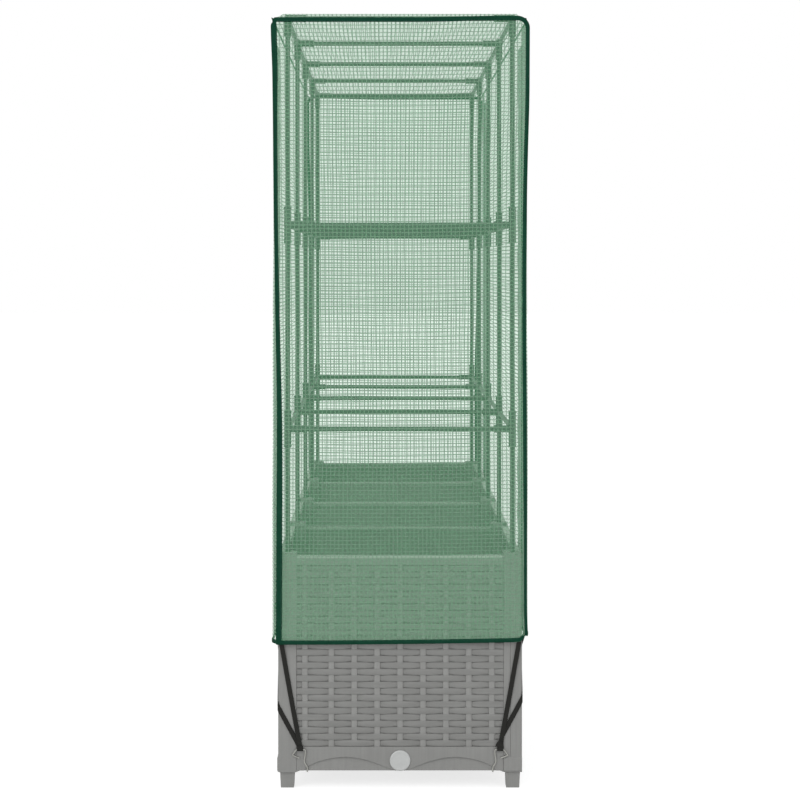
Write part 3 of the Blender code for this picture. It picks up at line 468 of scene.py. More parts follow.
for side, sign in SIDES:
    for number in range(MODULES + 1):
        x, y = sign * HALF_X, hoop_y(number)
        bm = bmesh.new()
        foot = POST_TOP - POST_SOCKET + GAP
        turned(bm, (x, y, foot), (0, 0, 1), tube_run(BARS[2] - foot))
        sleeve = FIT - 0.0001
        for level in BARS[:2]:
            turned(bm, (x, y, level - SLEEVE), (0, 0, 1),
                   mouth(0, sleeve, 1) + mouth(2 * SLEEVE, sleeve, -1), coat=1)
        domed = [(SLEEVE + 0.0030, sleeve), (SLEEVE + 0.0050, FIT - 0.0014), (SLEEVE + 0.0058, FIT - 0.0035)]
        turned(bm, (x, y, BARS[2] - SLEEVE), (0, 0, 1), mouth(0, sleeve, 1) + domed, coat=1)
        cross_arm, rail_arm = [[(0, radius)] + mouth(ARM, radius, -1)
                               for radius in (FIT - 0.0003, FIT - 0.0004)]
        for level in BARS:
            turned(bm, (x, y, level), (-sign, 0, 0), cross_arm, coat=1)
            if sign < 0:
                turned(bm, (x + TUBE_START, y, level), (1, 0, 0), tube_run(MODULE - 2 * TUBE_START))
            if number > 0:
                turned(bm, (x, y, level), (0, -1, 0), rail_arm, coat=1)
            if number < MODULES:
                turned(bm, (x, y, level), (0, 1, 0), rail_arm, coat=1)
                turned(bm, (x, y + TUBE_START, level), (0, 1, 0), tube_run(MODULE - 2 * TUBE_START))
        name = f"frame_tube_{side}_{number + 1}"
        place_piece(name, mesh_of(name, bm, [powder_coat, grey_nylon]), "root",
                    node=f"frame_upright_{side}_{number + 1}")

# ------------------------------------------------
# Cover, end cloths. Green polyethylene mesh film: a leno scrim of flat tapes, 7 mm by 6.3 mm,
# laminated in a thin tinted film. It hangs flat in a bound edge and shows what stands behind it.

SCRIM_ACROSS = 0.00696
SCRIM_UP = 0.0063
TAPE_HALF = 0.00070
TAPE_SOFT = 0.00040


def mesh_film(name, cells, cell_cover, tape_cover):
    """Film over a scrim of paler tapes: the cells let most of what stands behind through, the tapes
    hardly any. cells holds the cells' two tones; the last two say how much each covers."""
    made, tree, skin = finish(name, IOR=1.5, Roughness=0.5, Specular_IOR_Level=0.3)
    cut = add(tree, "UVMap", uv_map="cut_cloth")
    sway = mottle(tree, cut, 7.0, 1.0)
    shift = add(tree, "MapRange", {"Value": sway, "To Min": -0.0012, "To Max": 0.0012})
    lines = add(tree, "SeparateXYZ", {"Vector": cut})
    tapes = []
    for axis, pitch in (("X", SCRIM_ACROSS), ("Y", SCRIM_UP)):
        swayed = add(tree, "Math", {0: lines.outputs[axis], 1: shift}, operation="ADD")
        away = add(tree, "Math", {0: swayed, 1: pitch / 2}, operation="PINGPONG")
        tapes.append(add(tree, "MapRange", {
            "Value": away, "From Min": TAPE_HALF - TAPE_SOFT, "From Max": TAPE_HALF + TAPE_SOFT,
            "To Min": 1.0, "To Max": 0.0}, interpolation_type="SMOOTHSTEP"))
    tape = add(tree, "Math", {0: tapes[0], 1: tapes[1]}, operation="MAXIMUM")
    crossing = add(tree, "Math", {0: tapes[0], 1: tapes[1]}, operation="ADD")
    stain = mottle(tree, cut, 90.0, 3.0)
    tape_tone, cell_tone = [blend(tree, stain, *tones) for tones in (("#738D7B", "#819B88"), cells)]
    blend(tree, tape, cell_tone, tape_tone, skin["Base Color"])
    add(tree, "MapRange", {"Value": tape, "To Min": cell_cover, "To Max": tape_cover}, skin["Alpha"])
    bump(tree, crossing, 0.0002, 0.6, skin)
    return made


scrim_film = mesh_film("green_scrim_mesh_film", ("#88E6A8", "#96F2B4"), 0.20, 0.85)
# The strong band that carries the zips has no open cells, so it shows as one even dull green.
band_film = mesh_film("green_plain_band_film", ("#658A73", "#71967E"), 0.9, 0.94)


def lines_through(stops, longest):
    """Grid lines through the stops, with none further apart than the longest step."""
    found = [stops[0]]
    for start, end in zip(stops, stops[1:]):
        count = max(1, math.ceil((end - start) / longest - 1e-6))
        found += [start + (end - start) * number / count for number in range(1, count + 1)]
    return found


def cloth(name, across, up, place, cut, band=None):
    """One layer of film: place(a, b) is where it hangs, cut(a, b) where that was in the flat cloth,
    and band(a, b) says where it is the plain band."""
    bm = bmesh.new()
    flat = bm.loops.layers.uv.new("cut_cloth")
    grid = [[bm.verts.new(place(a, b)) for b in up] for a in across]
    for i in range(len(across) - 1):
        for j in range(len(up) - 1):
            corners = ((i, j), (i + 1, j), (i + 1, j + 1), (i, j + 1))
            face = bm.faces.new([grid[a][b] for a, b in corners])
            for loop, (a, b) in zip(face.loops, corners):
                loop[flat].uv = cut(across[a], up[b])
            if band and band((across[i] + across[i + 1]) / 2, (up[j] + up[j + 1]) / 2):
                face.material_index = 1
    return mesh_of(name, bm, [scrim_film, band_film], 180)


BINDING = 0.0028          # thickness of the folded tape
END_PLANE = END_FACE + 0.0074
HEM_LOW = 0.2366
HEM_RISE = 0.0046         # the front hem rises this much to the right
HEM_WIDTH = 0.0070
ROOF = 1.2708
END_SEAM = 1.2635
TOP_RISE = 0.0024         # the top seam lifts this much towards its rounded corner
CORNER_ROUND = 0.020
CORNER_TIP = 0.0015       # the folded tape stands out this far where it turns the corner
PINCH = 0.0052            # and the square corner is pinched in this far under its fold
HEM_ROUND = 0.012
HEM_INSET = 0.0050        # the rounded lower corner starts this far inside the upright binding
# Height and half width. Cut straight, the cloth draws in where no hoop holds it out.
EDGE_LEFT = ((0.237, 0.2032), (0.343, 0.2028), (0.474, 0.2023), (0.539, 0.2016), (0.604, 0.2013),
             (0.670, 0.2022), (0.801, 0.2048), (0.932, 0.2067), (1.062, 0.2078), (1.193, 0.2095),
             (1.230, 0.2118), (1.264, 0.2119))
EDGE_RIGHT = ((0.237, 0.2097), (0.255, 0.2094), (0.277, 0.2076), (0.343, 0.2076), (0.474, 0.2080),
              (0.604, 0.2076), (0.735, 0.2066), (0.866, 0.2066), (0.997, 0.2081), (1.062, 0.2098),
              (1.128, 0.2118), (1.264, 0.2124))
BEND_STEP = 0.0125        # the tables' bends are smoothed over four of these
END_WIDTH = 0.416
END_HEIGHT = END_SEAM - HEM_LOW


def along_table(table, z):
    """The value at a height, straight between the table's rows."""
    for (low, first), (high, second) in zip(table, table[1:]):
        if z <= high:
            return first + (second - first) * max(0.0, (z - low) / (high - low))
    return table[-1][1]


def edge_at(table, z):
    """A value from a table at a height, its bends smoothed."""
    return sum(along_table(table, z + step * BEND_STEP) for step in (-2, -1, 0, 1, 2)) / 5


def hem_line(x):
    """The lower edge of an end cloth."""
    return HEM_LOW + HEM_RISE * max(0.0, x / END_WIDTH + 0.5) ** 2


def top_line(x):
    """The upper edge of an end cloth."""
    return END_SEAM + TOP_RISE * ease((x - 0.03) / 0.14)


def cut_back(x, z, radius, inset=0.0):
    """How far a corner rounded by the radius cuts back the right edge at x."""
    past = min(max(0.0, x - edge_at(EDGE_RIGHT, z) + radius + inset), radius)
    return radius - math.sqrt(radius ** 2 - past ** 2)


def end_point(a, b):
    """a runs 0 to 1 from left to right and b up, in the plane of an end."""
    level = (a - 0.5) * END_WIDTH
    low, high = hem_line(level), top_line(level)
    z = low + (high - low) * b
    x = -edge_at(EDGE_LEFT, z) * (1 - a) + edge_at(EDGE_RIGHT, z) * a
    pinch = PINCH * ease((b - 0.985) / 0.015) * ease((0.02 - a) / 0.02)
    x += pinch
    z -= pinch / 2
    z -= cut_back(x, z, CORNER_ROUND) * ease((b - 0.93) / 0.07)
    z += cut_back(x, z, HEM_ROUND, HEM_INSET) * ease((0.05 - b) / 0.05)
    free = math.sin(math.pi * a) * math.sin(math.pi * b)
    billow = 0.0017 * free * noise.noise(Vector((a * 2.2, b * 5.5, 3.1)))
    return Vector((x, billow, z))


end_mesh = cloth("end_cloth", lines_through([0, 0.94, 1], 0.0195), lines_through([0, 0.05, 0.93, 1], 0.0125),
                 end_point, lambda a, b: ((a - 0.5) * END_WIDTH, b * END_HEIGHT))

# ------------------------------------------------
# Cover, bound edges. A dark green woven polyester tape folded over the film's raw edge and sewn
# through with matching thread; it is what holds the end cloths square.

TAPE_RIB = 0.0011         # from rib to rib of the binding, drawn twice as coarse


def woven_tape(name, dark, light, rib):
    """Ribbed polyester tape: fine diagonal ribs and fibres that catch a dull sheen."""
    made, tree, skin = finish(name, Roughness=0.85, Specular_IOR_Level=0.12)
    place = add(tree, "TexCoord").outputs["Object"]
    fibre = mottle(tree, place, 1500.0)
    worn = mottle(tree, place, 45.0, 3.0)
    both = add(tree, "Math", {0: fibre, 1: worn}, operation="ADD")
    share = add(tree, "MapRange", {"Value": both, "From Min": 0.7, "From Max": 1.3})
    blend(tree, share, dark, light, skin["Base Color"])
    ribs = add(tree, "TexWave", {"Vector": place, "Scale": 1 / rib / 6.2832, "Distortion": 0.6},
               bands_direction="DIAGONAL")
    rough = add(tree, "Math", {0: ribs.outputs["Fac"], 1: fibre}, operation="ADD")
    bump(tree, rough, 0.00015, 0.6, skin)
    return made


binding_tape = woven_tape("green_polyester_binding", "#0A3727", "#124331", TAPE_RIB)
# Twisted thread: a shade lighter than the tape, with a slight lustre.
thread, tree, skin = finish("green_sewing_thread", Roughness=0.6, Sheen_Weight=0.2)
place = add(tree, "TexCoord").outputs["Object"]
twist = add(tree, "TexWave", {"Vector": place, "Scale": 500.0}, bands_direction="DIAGONAL")
blend(tree, twist.outputs["Fac"], "#1B4A3B", "#2C6250", skin["Base Color"])

SQUARED = 0.62            # how much flatter than round a folded tape is


def folded_tape(bm, outer, inner, normal, thick, coat=0, closed=False):
    """A tape folded over an edge between an outer and an inner line, rounded across."""
    section = []
    for number in range(12):
        angle = 2 * math.pi * number / 12
        section.append([math.copysign(abs(value) ** SQUARED, value)
                        for value in (math.cos(angle), math.sin(angle))])
    loft(bm, [[(far + near) / 2 + (far - near) / 2 * wide + Vector(normal) * (deep * thick / 2)
               for wide, deep in section] for far, near in zip(outer, inner)], coat, closed)


def stitches(bm, line, normal, shift=None, length=0.0030, pitch=0.0042):
    """A row of stitches along a line: slim seeds of thread, half sunk in the cloth."""
    normal, shift, half = Vector(normal), Vector(shift or (0, 0, 0)), 0.00028
    carry = 0.0
    for start, end in zip(line, line[1:]):
        run = (end - start).length
        if run < 1e-9:
            continue
        way = (end - start) / run
        across = way.cross(normal).normalized()
        while carry + length <= run:
            first = start + shift + way * carry
            ends = [bm.verts.new(first), bm.verts.new(first + way * length)]
            belt = [bm.verts.new(first + way * (length / 2) + out * half)
                    for out in (across, normal, -across, -normal)]
            for corner in range(4):
                after = (corner + 1) % 4
                bm.faces.new((ends[0], belt[corner], belt[after])).material_index = 1
                bm.faces.new((ends[1], belt[after], belt[corner])).material_index = 1
            carry += pitch
        carry = max(carry - run, 0.0)


TOP_WIDTH = 0.0078        # the tape's width along the top, and by height up the sides
WIDTH_LEFT = ((0.237, 0.0094), (0.474, 0.0098), (0.670, 0.0078), (0.900, 0.0066), (1.100, 0.0072),
              (1.180, 0.0092), (1.264, 0.0100))
WIDTH_RIGHT = ((0.237, 0.0050), (0.400, 0.0052), (0.500, 0.0066), (1.264, 0.0068))
# The left top corner's fold: how far the tape's outer line lies in and down from the corner, then
# how far its inner line lies in and down from its own.
FOLD = ((0.0008, 0.0108, -0.0002, 0.0116), (0.0028, 0.0078, -0.0006, 0.0092),
        (0.0026, 0.0050, -0.0004, 0.0082), (0.0008, 0.0004, 0, 0.0078), (0.0030, 0.0012, 0.0002, 0.0078),
        (0.0048, 0.0022, 0.0006, 0.0078), (0.0062, 0.0002, 0.0012, 0.0078))
STRAIGHT_STEP = 0.0085    # from one station to the next up the sides
LEVEL_STEPS = 48
TOP_TURN = 13
HEM_TURNS = 9


def end_outline():
    """The outer and inner lines of the binding round an end cloth, from its bottom left corner up."""
    stations = []

    def upright(table, widths, sign, start, end):
        count = int(abs(end - start) / STRAIGHT_STEP)
        for number in range(count + 1):
            z = start + (end - start) * number / count
            x = edge_at(table, z)
            stations.append(((sign * x, z), (sign * (x - edge_at(widths, z)), z)))

    def bend(middle, radius, angle, width, tip=0.0):
        c, s = math.cos(angle), math.sin(angle)
        stations.append(((middle[0] + (radius + tip) * c, middle[1] + (radius + tip) * s),
                         (middle[0] + (radius - width) * c, middle[1] + (radius - width) * s)))

    seam_start = END_SEAM - TOP_WIDTH * 1.8
    upright(EDGE_LEFT, WIDTH_LEFT, -1, HEM_LOW + HEM_WIDTH * 1.3, seam_start)
    left = -edge_at(EDGE_LEFT, END_SEAM)
    fold = left + edge_at(WIDTH_LEFT, END_SEAM)
    for out, down, inside, under in FOLD:
        stations.append(((left + out, END_SEAM - down), (fold + inside, END_SEAM - under)))
    right = edge_at(EDGE_RIGHT, END_SEAM)
    middle = (right - CORNER_ROUND, top_line(right) - CORNER_ROUND)
    for x in lines_through([fold + 0.003, middle[0]], (middle[0] - fold - 0.003) / LEVEL_STEPS):
        stations.append(((x, top_line(x)), (x, top_line(x) - TOP_WIDTH)))
    for number in range(1, TOP_TURN + 1):
        share = number / TOP_TURN
        width = TOP_WIDTH + (edge_at(WIDTH_RIGHT, seam_start) - TOP_WIDTH) * share
        bend(middle, CORNER_ROUND, math.pi / 2 * (1 - share), width,
             CORNER_TIP if number == TOP_TURN // 2 else 0.0)
    low = hem_line(right) + HEM_ROUND + 0.001
    upright(EDGE_RIGHT, WIDTH_RIGHT, 1, middle[1] - STRAIGHT_STEP, low)
    right = edge_at(EDGE_RIGHT, low)
    width = edge_at(WIDTH_RIGHT, low)
    stations.append(((right, low - 0.0014), (right - width, low - 0.0012)))
    stations.append(((right - HEM_INSET + 0.0004, low - 0.0026), (right - width - 0.0006, low - 0.0018)))
    middle = (right - HEM_ROUND - HEM_INSET, hem_line(right) + HEM_ROUND)
    for number in range(2, HEM_TURNS + 1):
        share = number / HEM_TURNS
        bend(middle, HEM_ROUND, -math.pi / 2 * share, 0.0050 + (HEM_WIDTH - 0.0050) * share)
    left = -edge_at(EDGE_LEFT, HEM_LOW)
    fold = left + edge_at(WIDTH_LEFT, HEM_LOW)
    for number in range(1, LEVEL_STEPS + 1):
        x = middle[0] + (fold + 0.001 - middle[0]) * number / LEVEL_STEPS
        stations.append(((x, hem_line(x)), (x, hem_line(x) + HEM_WIDTH)))
    stations += [((left + 0.0022, HEM_LOW), (fold, HEM_LOW + HEM_WIDTH)),
                 ((left, HEM_LOW + 0.0018), (fold, HEM_LOW + HEM_WIDTH))]
    return [[Vector((x, 0, z)) for x, z in line] for line in zip(*stations)]


end_outer, end_inner = end_outline()
bm = bmesh.new()
folded_tape(bm, end_outer, end_inner, (0, -1, 0), BINDING, closed=True)
for way in (-1, 1):
    seam = [near + (far - near) * 0.22 + Vector((0, way * BINDING * 0.49, 0))
            for far, near in zip(end_outer, end_inner)]
    stitches(bm, seam, (0, way, 0))
end_binding = mesh_of("end_binding", bm, [binding_tape, thread], 60)

for end, sign in ENDS:
    where = Matrix.Translation((0, sign * END_PLANE, 0)) @ END_TURN[sign]
    sheet = place_piece(f"end_cloth_{end}", end_mesh, "root", where, f"cover_{end}")
    edge = place_piece(f"end_binding_{end}", end_binding, "root", where)

# ------------------------------------------------
# Cover, roof. One length of the same film laid over the top bars and rails, sagging a little in
# each bay, with its long edges overlocked to the side cloths.

SIDE_PLANE = SIDE_FACE + 0.0092
CLOTH_END = END_PLANE - BINDING / 2 - GAP
ROOF_EDGE = END_SEAM - 0.001
SIDE_TOP = ROOF_EDGE - BINDING / 2 - 0.0006
SEAM_WIDTH = 0.003
ROOF_SAG = 0.0055
CORNER_REACH = 0.06       # the rounded end corners draw the long cloths in over this length
roof_half = SIDE_PLANE + 0.0005
roof_end = CLOTH_END - 0.0004
over_fit = FIT + 0.001

overlock = woven_tape("green_overlocked_seam", "#3E6F57", "#4E8068", TAPE_RIB)


def round_corner(spot):
    """Draws a point near an end's rounded top corner in behind that corner's binding."""
    near = ease((abs(spot.y) - CLOTH_END + CORNER_REACH) / CORNER_REACH)
    if spot.x * spot.y >= 0 or near == 0:
        return spot
    reach = CORNER_ROUND - BINDING * 0.8
    middle = Vector((math.copysign(edge_at(EDGE_RIGHT, END_SEAM) - CORNER_ROUND, spot.x), spot.y,
                     top_line(HALF_X) - CORNER_ROUND))
    away = spot - middle
    if away.z <= 0 or away.x * spot.x <= 0 or away.length <= reach:
        return spot
    return spot + (middle + away * (reach / away.length) - spot) * near


def roof_point(x, y):
    """Level over the connectors and rails, sagging between, falling to the seams."""
    bay = abs(math.sin(math.pi * (y + HALF_Y) / MODULE)) if abs(y) < HALF_Y else 0.0
    inside = 1 - ease(abs(x) / (HALF_X - TUBE))
    ripple = 0.0007 * noise.noise(Vector((x * 9, y * 6, 1.7))) * bay
    sag = (ROOF_SAG * inside + 0.0012) * bay
    to_side = ease((abs(x) - HALF_X - over_fit) / (roof_half - SEAM_WIDTH - HALF_X - over_fit))
    to_end = ease((abs(y) - HALF_Y - over_fit) / (roof_end - HALF_Y - over_fit))
    fall = 1 - (1 - to_side) * (1 - to_end)
    return round_corner(Vector((x, y, ROOF - (sag - ripple) * (1 - fall) - (ROOF - ROOF_EDGE) * fall)))


roof_across = lines_through([-roof_half, -roof_half + SEAM_WIDTH, -HALF_X - over_fit, 0, HALF_X + over_fit,
                             roof_half - SEAM_WIDTH, roof_half], 0.012)
roof_along = lines_through([-roof_end, -HALF_Y - over_fit,
                            *[hoop_y(number) for number in range(MODULES + 1)],
                            HALF_Y + over_fit, roof_end], 0.015)
roof_mesh = cloth("roof_cloth", roof_across, roof_along, roof_point, lambda x, y: (x, y))
roof = place_piece("roof_cloth", roof_mesh, "root", None, "cover_roof")

# ------------------------------------------------
# Cover, long sides. A film strip hangs either side of each door with a plain band along the zip,
# and a narrow header joins them over the door. The lower edges are turned and sewn.

HEM = 0.240               # the middle of the hems
ZIP_Y = HALF_Y - 0.124
ZIP_GAP = 0.0012
HEM_TURN = 0.0135         # how far the hem turns up to meet an end's rounded lower corner
HEM_TURN_REACH = 0.085    # and over what length
BAND_WIDTH = 0.095        # plain film beside the zip, on the strip and on the door
DOOR_TOP = BARS[2] - 0.029
SWELL = 0.0022            # how far the cloth bows out, at most
FLARE = 0.0009            # and how far its foot stands out near the ends
FLARE_FROM = 0.70
ZIP_FLAT = 0.014          # it lies flat this far either side of a zip
EDGE_STRIP = 0.02         # beside its end seam the side cloth draws in over this length
zip_edge = ZIP_Y + ZIP_GAP / 2
door_edge = ZIP_Y - ZIP_GAP / 2


def side_point(sign):
    """The long sides hang straight, bow out a little and draw in to the end cloths."""
    def point(y, z):
        share = min(max((z - HEM) / (SIDE_TOP - HEM), 0.0), 1.0)
        end = ease((abs(y) - CLOTH_END + EDGE_STRIP) / EDGE_STRIP)
        zip_free = ease((abs(abs(y) - ZIP_Y) - ZIP_FLAT) / 0.04)
        swell = SWELL * math.sin(math.pi * share) * noise.noise(Vector((y * 3.1, z * 3.7, 5.0 + sign)))
        swell = swell * zip_free + FLARE * (1 - share) * ease((abs(y) - FLARE_FROM) / 0.04)
        beside = edge_at(EDGE_LEFT if (sign < 0) == (y < 0) else EDGE_RIGHT, z)
        edge = max(min(SIDE_PLANE, beside - BINDING / 2 - 0.0002), SIDE_FACE + BINDING / 2 + GAP)
        if sign * y < 0:
            z += (HEM_TURN * ease((abs(y) - CLOTH_END + HEM_TURN_REACH) / HEM_TURN_REACH)
                  * ease((HEM + 0.06 - z) / 0.06))
        return round_corner(Vector((sign * ((SIDE_PLANE + swell) * (1 - end) + edge * end), y, z)))
    return point


def hang(name, along, up, point, sign, node=None, band=None):
    """A cloth of a long side, its outer face turned outwards."""
    mesh = cloth(name, along, up, point, lambda y, z: (y, z - HEM_LOW), band)
    if sign > 0:
        mesh.flip_normals()
    return place_piece(name, mesh, "root", None, node)


def sewn_hem(bm, line, width, sign, thick, rows, coat=0, **thread_size):
    """A turned and sewn edge; rows gives how far out and up from the line each seam lies."""
    folded_tape(bm, line, [spot + Vector((0, 0, width)) for spot in line], (sign, 0, 0), thick, coat)
    for out, up in rows:
        stitches(bm, line, (math.copysign(1, out), 0, 0), (out, 0, up), **thread_size)


strip_up = lines_through([HEM_LOW, DOOR_TOP, SIDE_TOP], 0.02)
for side, sign in SIDES:
    point = side_point(sign)
    bm = bmesh.new()
    for end, way in ENDS:
        stops = [zip_edge, zip_edge + BAND_WIDTH, CLOTH_END - EDGE_STRIP, CLOTH_END]
        along = sorted(way * value for value in lines_through(stops, 0.010))
        sheet = hang(f"side_cloth_{side}_{end}", along, strip_up, point, sign,
                     f"cover_side_{side}" if way < 0 else None, lambda y, z: abs(y) < zip_edge + BAND_WIDTH)
        along = lines_through([zip_edge, CLOTH_END - EDGE_STRIP, CLOTH_END], 0.006)
        line = [point(y, HEM_LOW) for y in sorted(way * value for value in along)]
        sewn_hem(bm, line, HEM_WIDTH, sign, BINDING * 0.8, [(sign * BINDING * 0.4, HEM_WIDTH * 0.8)])
    header_along = lines_through([-zip_edge, -zip_edge + BAND_WIDTH, zip_edge - BAND_WIDTH, zip_edge], 0.02)
    header_up = lines_through([DOOR_TOP, SIDE_TOP], 0.008)
    header = hang(f"side_header_{side}", header_along, header_up, point, sign)
    seam = [point(y, SIDE_TOP) for y in lines_through([-CLOTH_END, -CLOTH_END + EDGE_STRIP,
                                                       CLOTH_END - EDGE_STRIP, CLOTH_END], 0.012)]
    seam = [round_corner(Vector((spot.x, spot.y, ROOF_EDGE))) for spot in seam]
    sewn_hem(bm, seam, -SEAM_WIDTH, sign, 0.0016, [(sign * 0.0008, -SEAM_WIDTH * 0.6)], 2,
             length=0.0022, pitch=0.0031)
    name = f"side_hem_{side}"
    place_piece(name, mesh_of(name, bm, [binding_tape, thread, overlock], 60), "root")

# ------------------------------------------------
# Doors. A film panel fills the opening between the zips and rolls up from the hem; at rest it
# still shows the soft ripples of having been rolled. Its lower edge is a stiffened hem.

DOOR_HEM = 0.0215
ROLL_RIPPLE = 0.074       # the ripples' pitch, the length of one turn of the roll
RIPPLE_DEPTH = 0.0006
door_bottom = HEM_LOW + DOOR_HEM + GAP
door_top = DOOR_TOP - GAP


def door_point(sign):
    """A door hangs like the strips beside it, with its ripples fading out towards its edges."""
    base = side_point(sign)

    def point(y, z):
        spot = base(y, z)
        free = ease((door_edge - 0.012 - abs(y)) / 0.05) * ease((z - door_bottom) / 0.03)
        ripple = RIPPLE_DEPTH * math.sin(2 * math.pi * z / ROLL_RIPPLE)
        spot.x += sign * ripple * free * ease((door_top - z) / 0.03)
        return spot
    return point


def roll_up(piece):
    """Gives the door's film its own copy of its mesh."""
    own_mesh(piece)


door_along = lines_through([-door_edge, -door_edge + BAND_WIDTH, door_edge - BAND_WIDTH, door_edge], 0.016)
door_up = lines_through([door_bottom, door_top], ROLL_RIPPLE / 8)
for side, sign in SIDES:
    door = hang(f"door_cloth_{side}", door_along, door_up, door_point(sign), sign, f"door_{side}",
                lambda y, z: abs(y) > door_edge - BAND_WIDTH)
    hem_half = door_edge - GAP
    along = lines_through([-hem_half, hem_half], 0.02)
    bm = bmesh.new()
    sewn_hem(bm, [Vector((sign * SIDE_PLANE, y, HEM_LOW + 0.0001)) for y in along], DOOR_HEM - 0.0002,
             sign, BINDING, [(way * BINDING * 0.49, up) for up in (0.0035, DOOR_HEM - 0.0035)
                             for way in (-1, 1)])
    name = f"door_hem_band_{side}"
    hem = place_piece(name, mesh_of(name, bm, [binding_tape, thread], 60), f"{side}_door",
                      None, f"door_hem_{side}")
    roll_up(door)

# ------------------------------------------------
# Zips. Coil zips, 5 mm chain: woven tape sewn to the plain bands, and a nylon coil along each
# facing edge whose turns lock together. One half is sewn to the side, the other to the door.

COIL_PITCH = 0.0021
COIL_REACH = 0.0021       # from the tape's edge to a turn's root
ZIP_TAPE = 0.011
ZIP_RIB = 0.0009


def flecked(name, dark, light, flecks, gloss, **constants):
    """Small hard pieces: flecks (how many for each metre, and in how much detail) break up the
    colour and the gloss."""
    made, tree, skin = finish(name, **constants)
    place = add(tree, "TexCoord").outputs["Object"]
    fleck = mottle(tree, place, *flecks)
    blend(tree, fleck, dark, light, skin["Base Color"])
    add(tree, "MapRange", {"Value": fleck, "To Min": gloss[0], "To Max": gloss[1]}, skin["Roughness"])
    return made


zip_tape = woven_tape("green_zip_tape", "#1E5141", "#2A614E", ZIP_RIB)
# Smooth drawn nylon: brighter glints than the tape it lies on.
coil_nylon = flecked("green_nylon_coil", "#1C4C3C", "#2B6350", (400.0, 2.0), (0.30, 0.45), IOR=1.53)


def zip_half(name, sign, way, low, high, inward):
    """Tape and coil of one half; inward is +1 on the door's half and -1 on the side's."""
    bm = bmesh.new()
    facing = way * (ZIP_Y - inward * ZIP_GAP / 2)
    away = way * (ZIP_Y - inward * ZIP_TAPE)
    face = sign * (SIDE_PLANE + GAP)
    stops = lines_through([low, high], 0.02)
    folded_tape(bm, [Vector((face, facing, z)) for z in stops], [Vector((face, away, z)) for z in stops],
                (sign, 0, 0), 0.0010)
    stitches(bm, [Vector((face + sign * 0.0005, away + (facing - away) * 0.18, z)) for z in stops],
             (sign, 0, 0))
    root = way * (ZIP_Y - inward * (ZIP_GAP / 2 + COIL_REACH))
    tip = way * (ZIP_Y + inward * 0.0007)
    reach = abs(tip - root)
    for number in range(int((high - low) / COIL_PITCH)):
        z = low + COIL_PITCH * (number + (0.25 if inward > 0 else 0.75))
        if z + COIL_PITCH * 0.3 > high:
            break
        turned(bm, (sign * (SIDE_PLANE + 0.0010), root, z), (0, tip - root, 0),
               [(0, 0.00042), (reach * 0.7, 0.00048), (reach, 0.00036)], 6, 2)
    bmesh.ops.recalc_face_normals(bm, faces=bm.faces[:])
    return place_piece(name, mesh_of(name, bm, [zip_tape, thread, coil_nylon], 50), "root")


for side, sign in SIDES:
    for end, way in ENDS:
        zip_half(f"zip_side_{side}_{end}", sign, way, HEM_LOW + 0.002, door_top, -1)
        roll_up(zip_half(f"zip_door_{side}_{end}", sign, way, door_bottom, door_top, 1))

# ------------------------------------------------
# Zip sliders. Zinc castings stove-enamelled green: a body with a waist and a bridge over it, and
# a stamped pull that hangs from the bridge. They sit at the hem while the doors are shut.

SLIDER_Z = HEM + 0.034
# Thin hard enamel: a clear gloss that the casting's faint pits break up.
slider_enamel = flecked("green_enamelled_zinc", "#1A4638", "#245A48", (600.0, 3.0), (0.26, 0.42), IOR=1.5,
                        Coat_Weight=0.3, Coat_Roughness=0.2)
# Half of the body's outline seen from the front, then the bridge's seen from the side.
SLIDER_BODY = ((0.0026, -0.007), (0.0036, -0.0058), (0.0036, -0.001), (0.0045, 0.0035), (0.0045, 0.0058),
               (0.0034, 0.007))
BRIDGE = ((0.0014, -0.0045), (0.0026, -0.0038), (0.0029, -0.0022), (0.0029, 0.0030), (0.0023, 0.0046),
          (0.0014, 0.0050))
BRIDGE_HALF = 0.0009
PULL_RING = (0.0025, 0.0045, -0.020)   # half width, half height, middle


def slider_mesh():
    """Local frame: +X away from the cloth, the slider's middle at the origin."""
    bm = bmesh.new()
    body = [*SLIDER_BODY, *[(-y, z) for y, z in SLIDER_BODY[::-1]]]
    loft(bm, [[(x, y, z) for y, z in body] for x in (0.0002, 0.0014)])
    loft(bm, [[(x, y, z) for x, z in BRIDGE] for y in (-BRIDGE_HALF, BRIDGE_HALF)])
    wide, tall, middle = PULL_RING
    pull = [(wide * math.sin(angle), middle - tall * math.cos(angle))
            for angle in (math.radians(-80 + 16 * number) for number in range(11))]
    pull += [(0.0021, -0.010), (0.0016, -0.0045), (-0.0016, -0.0045), (-0.0021, -0.010)]
    loft(bm, [[(x, y, z) for y, z in pull] for x in (0.0019, 0.0028)])
    bmesh.ops.recalc_face_normals(bm, faces=bm.faces[:])
    bmesh.ops.bevel(bm, geom=bm.edges[:], offset=0.00018, segments=2, affect="EDGES")
    return mesh_of("zip_slider", bm, [slider_enamel], 50)


slider = slider_mesh()
for side, sign in SIDES:
    for end, way in ENDS:
        where = Matrix.Translation((sign * (SIDE_PLANE + BINDING / 2 + GAP), way * ZIP_Y, SLIDER_Z))
        place_piece(f"slider_body_{side}_{end}", slider, f"slider_{side}_{end}",
                    where @ END_TURN[-sign], f"zip_slider_{side}_{end}")

# ------------------------------------------------
# Corner straps. Black braided elastic, 7.6 mm wide: one leg comes down from the end hem, the other
# goes round the post to the long side's hem, and both are sewn together over the hook's eye.

STRAP = 0.0076
STRAP_THICK = 0.0012
CORD_PITCH = 0.0012       # the rubber cords in the elastic, side by side
BRAID_PITCH = 0.0009      # the braid over them, drawn as wide as it needs to show

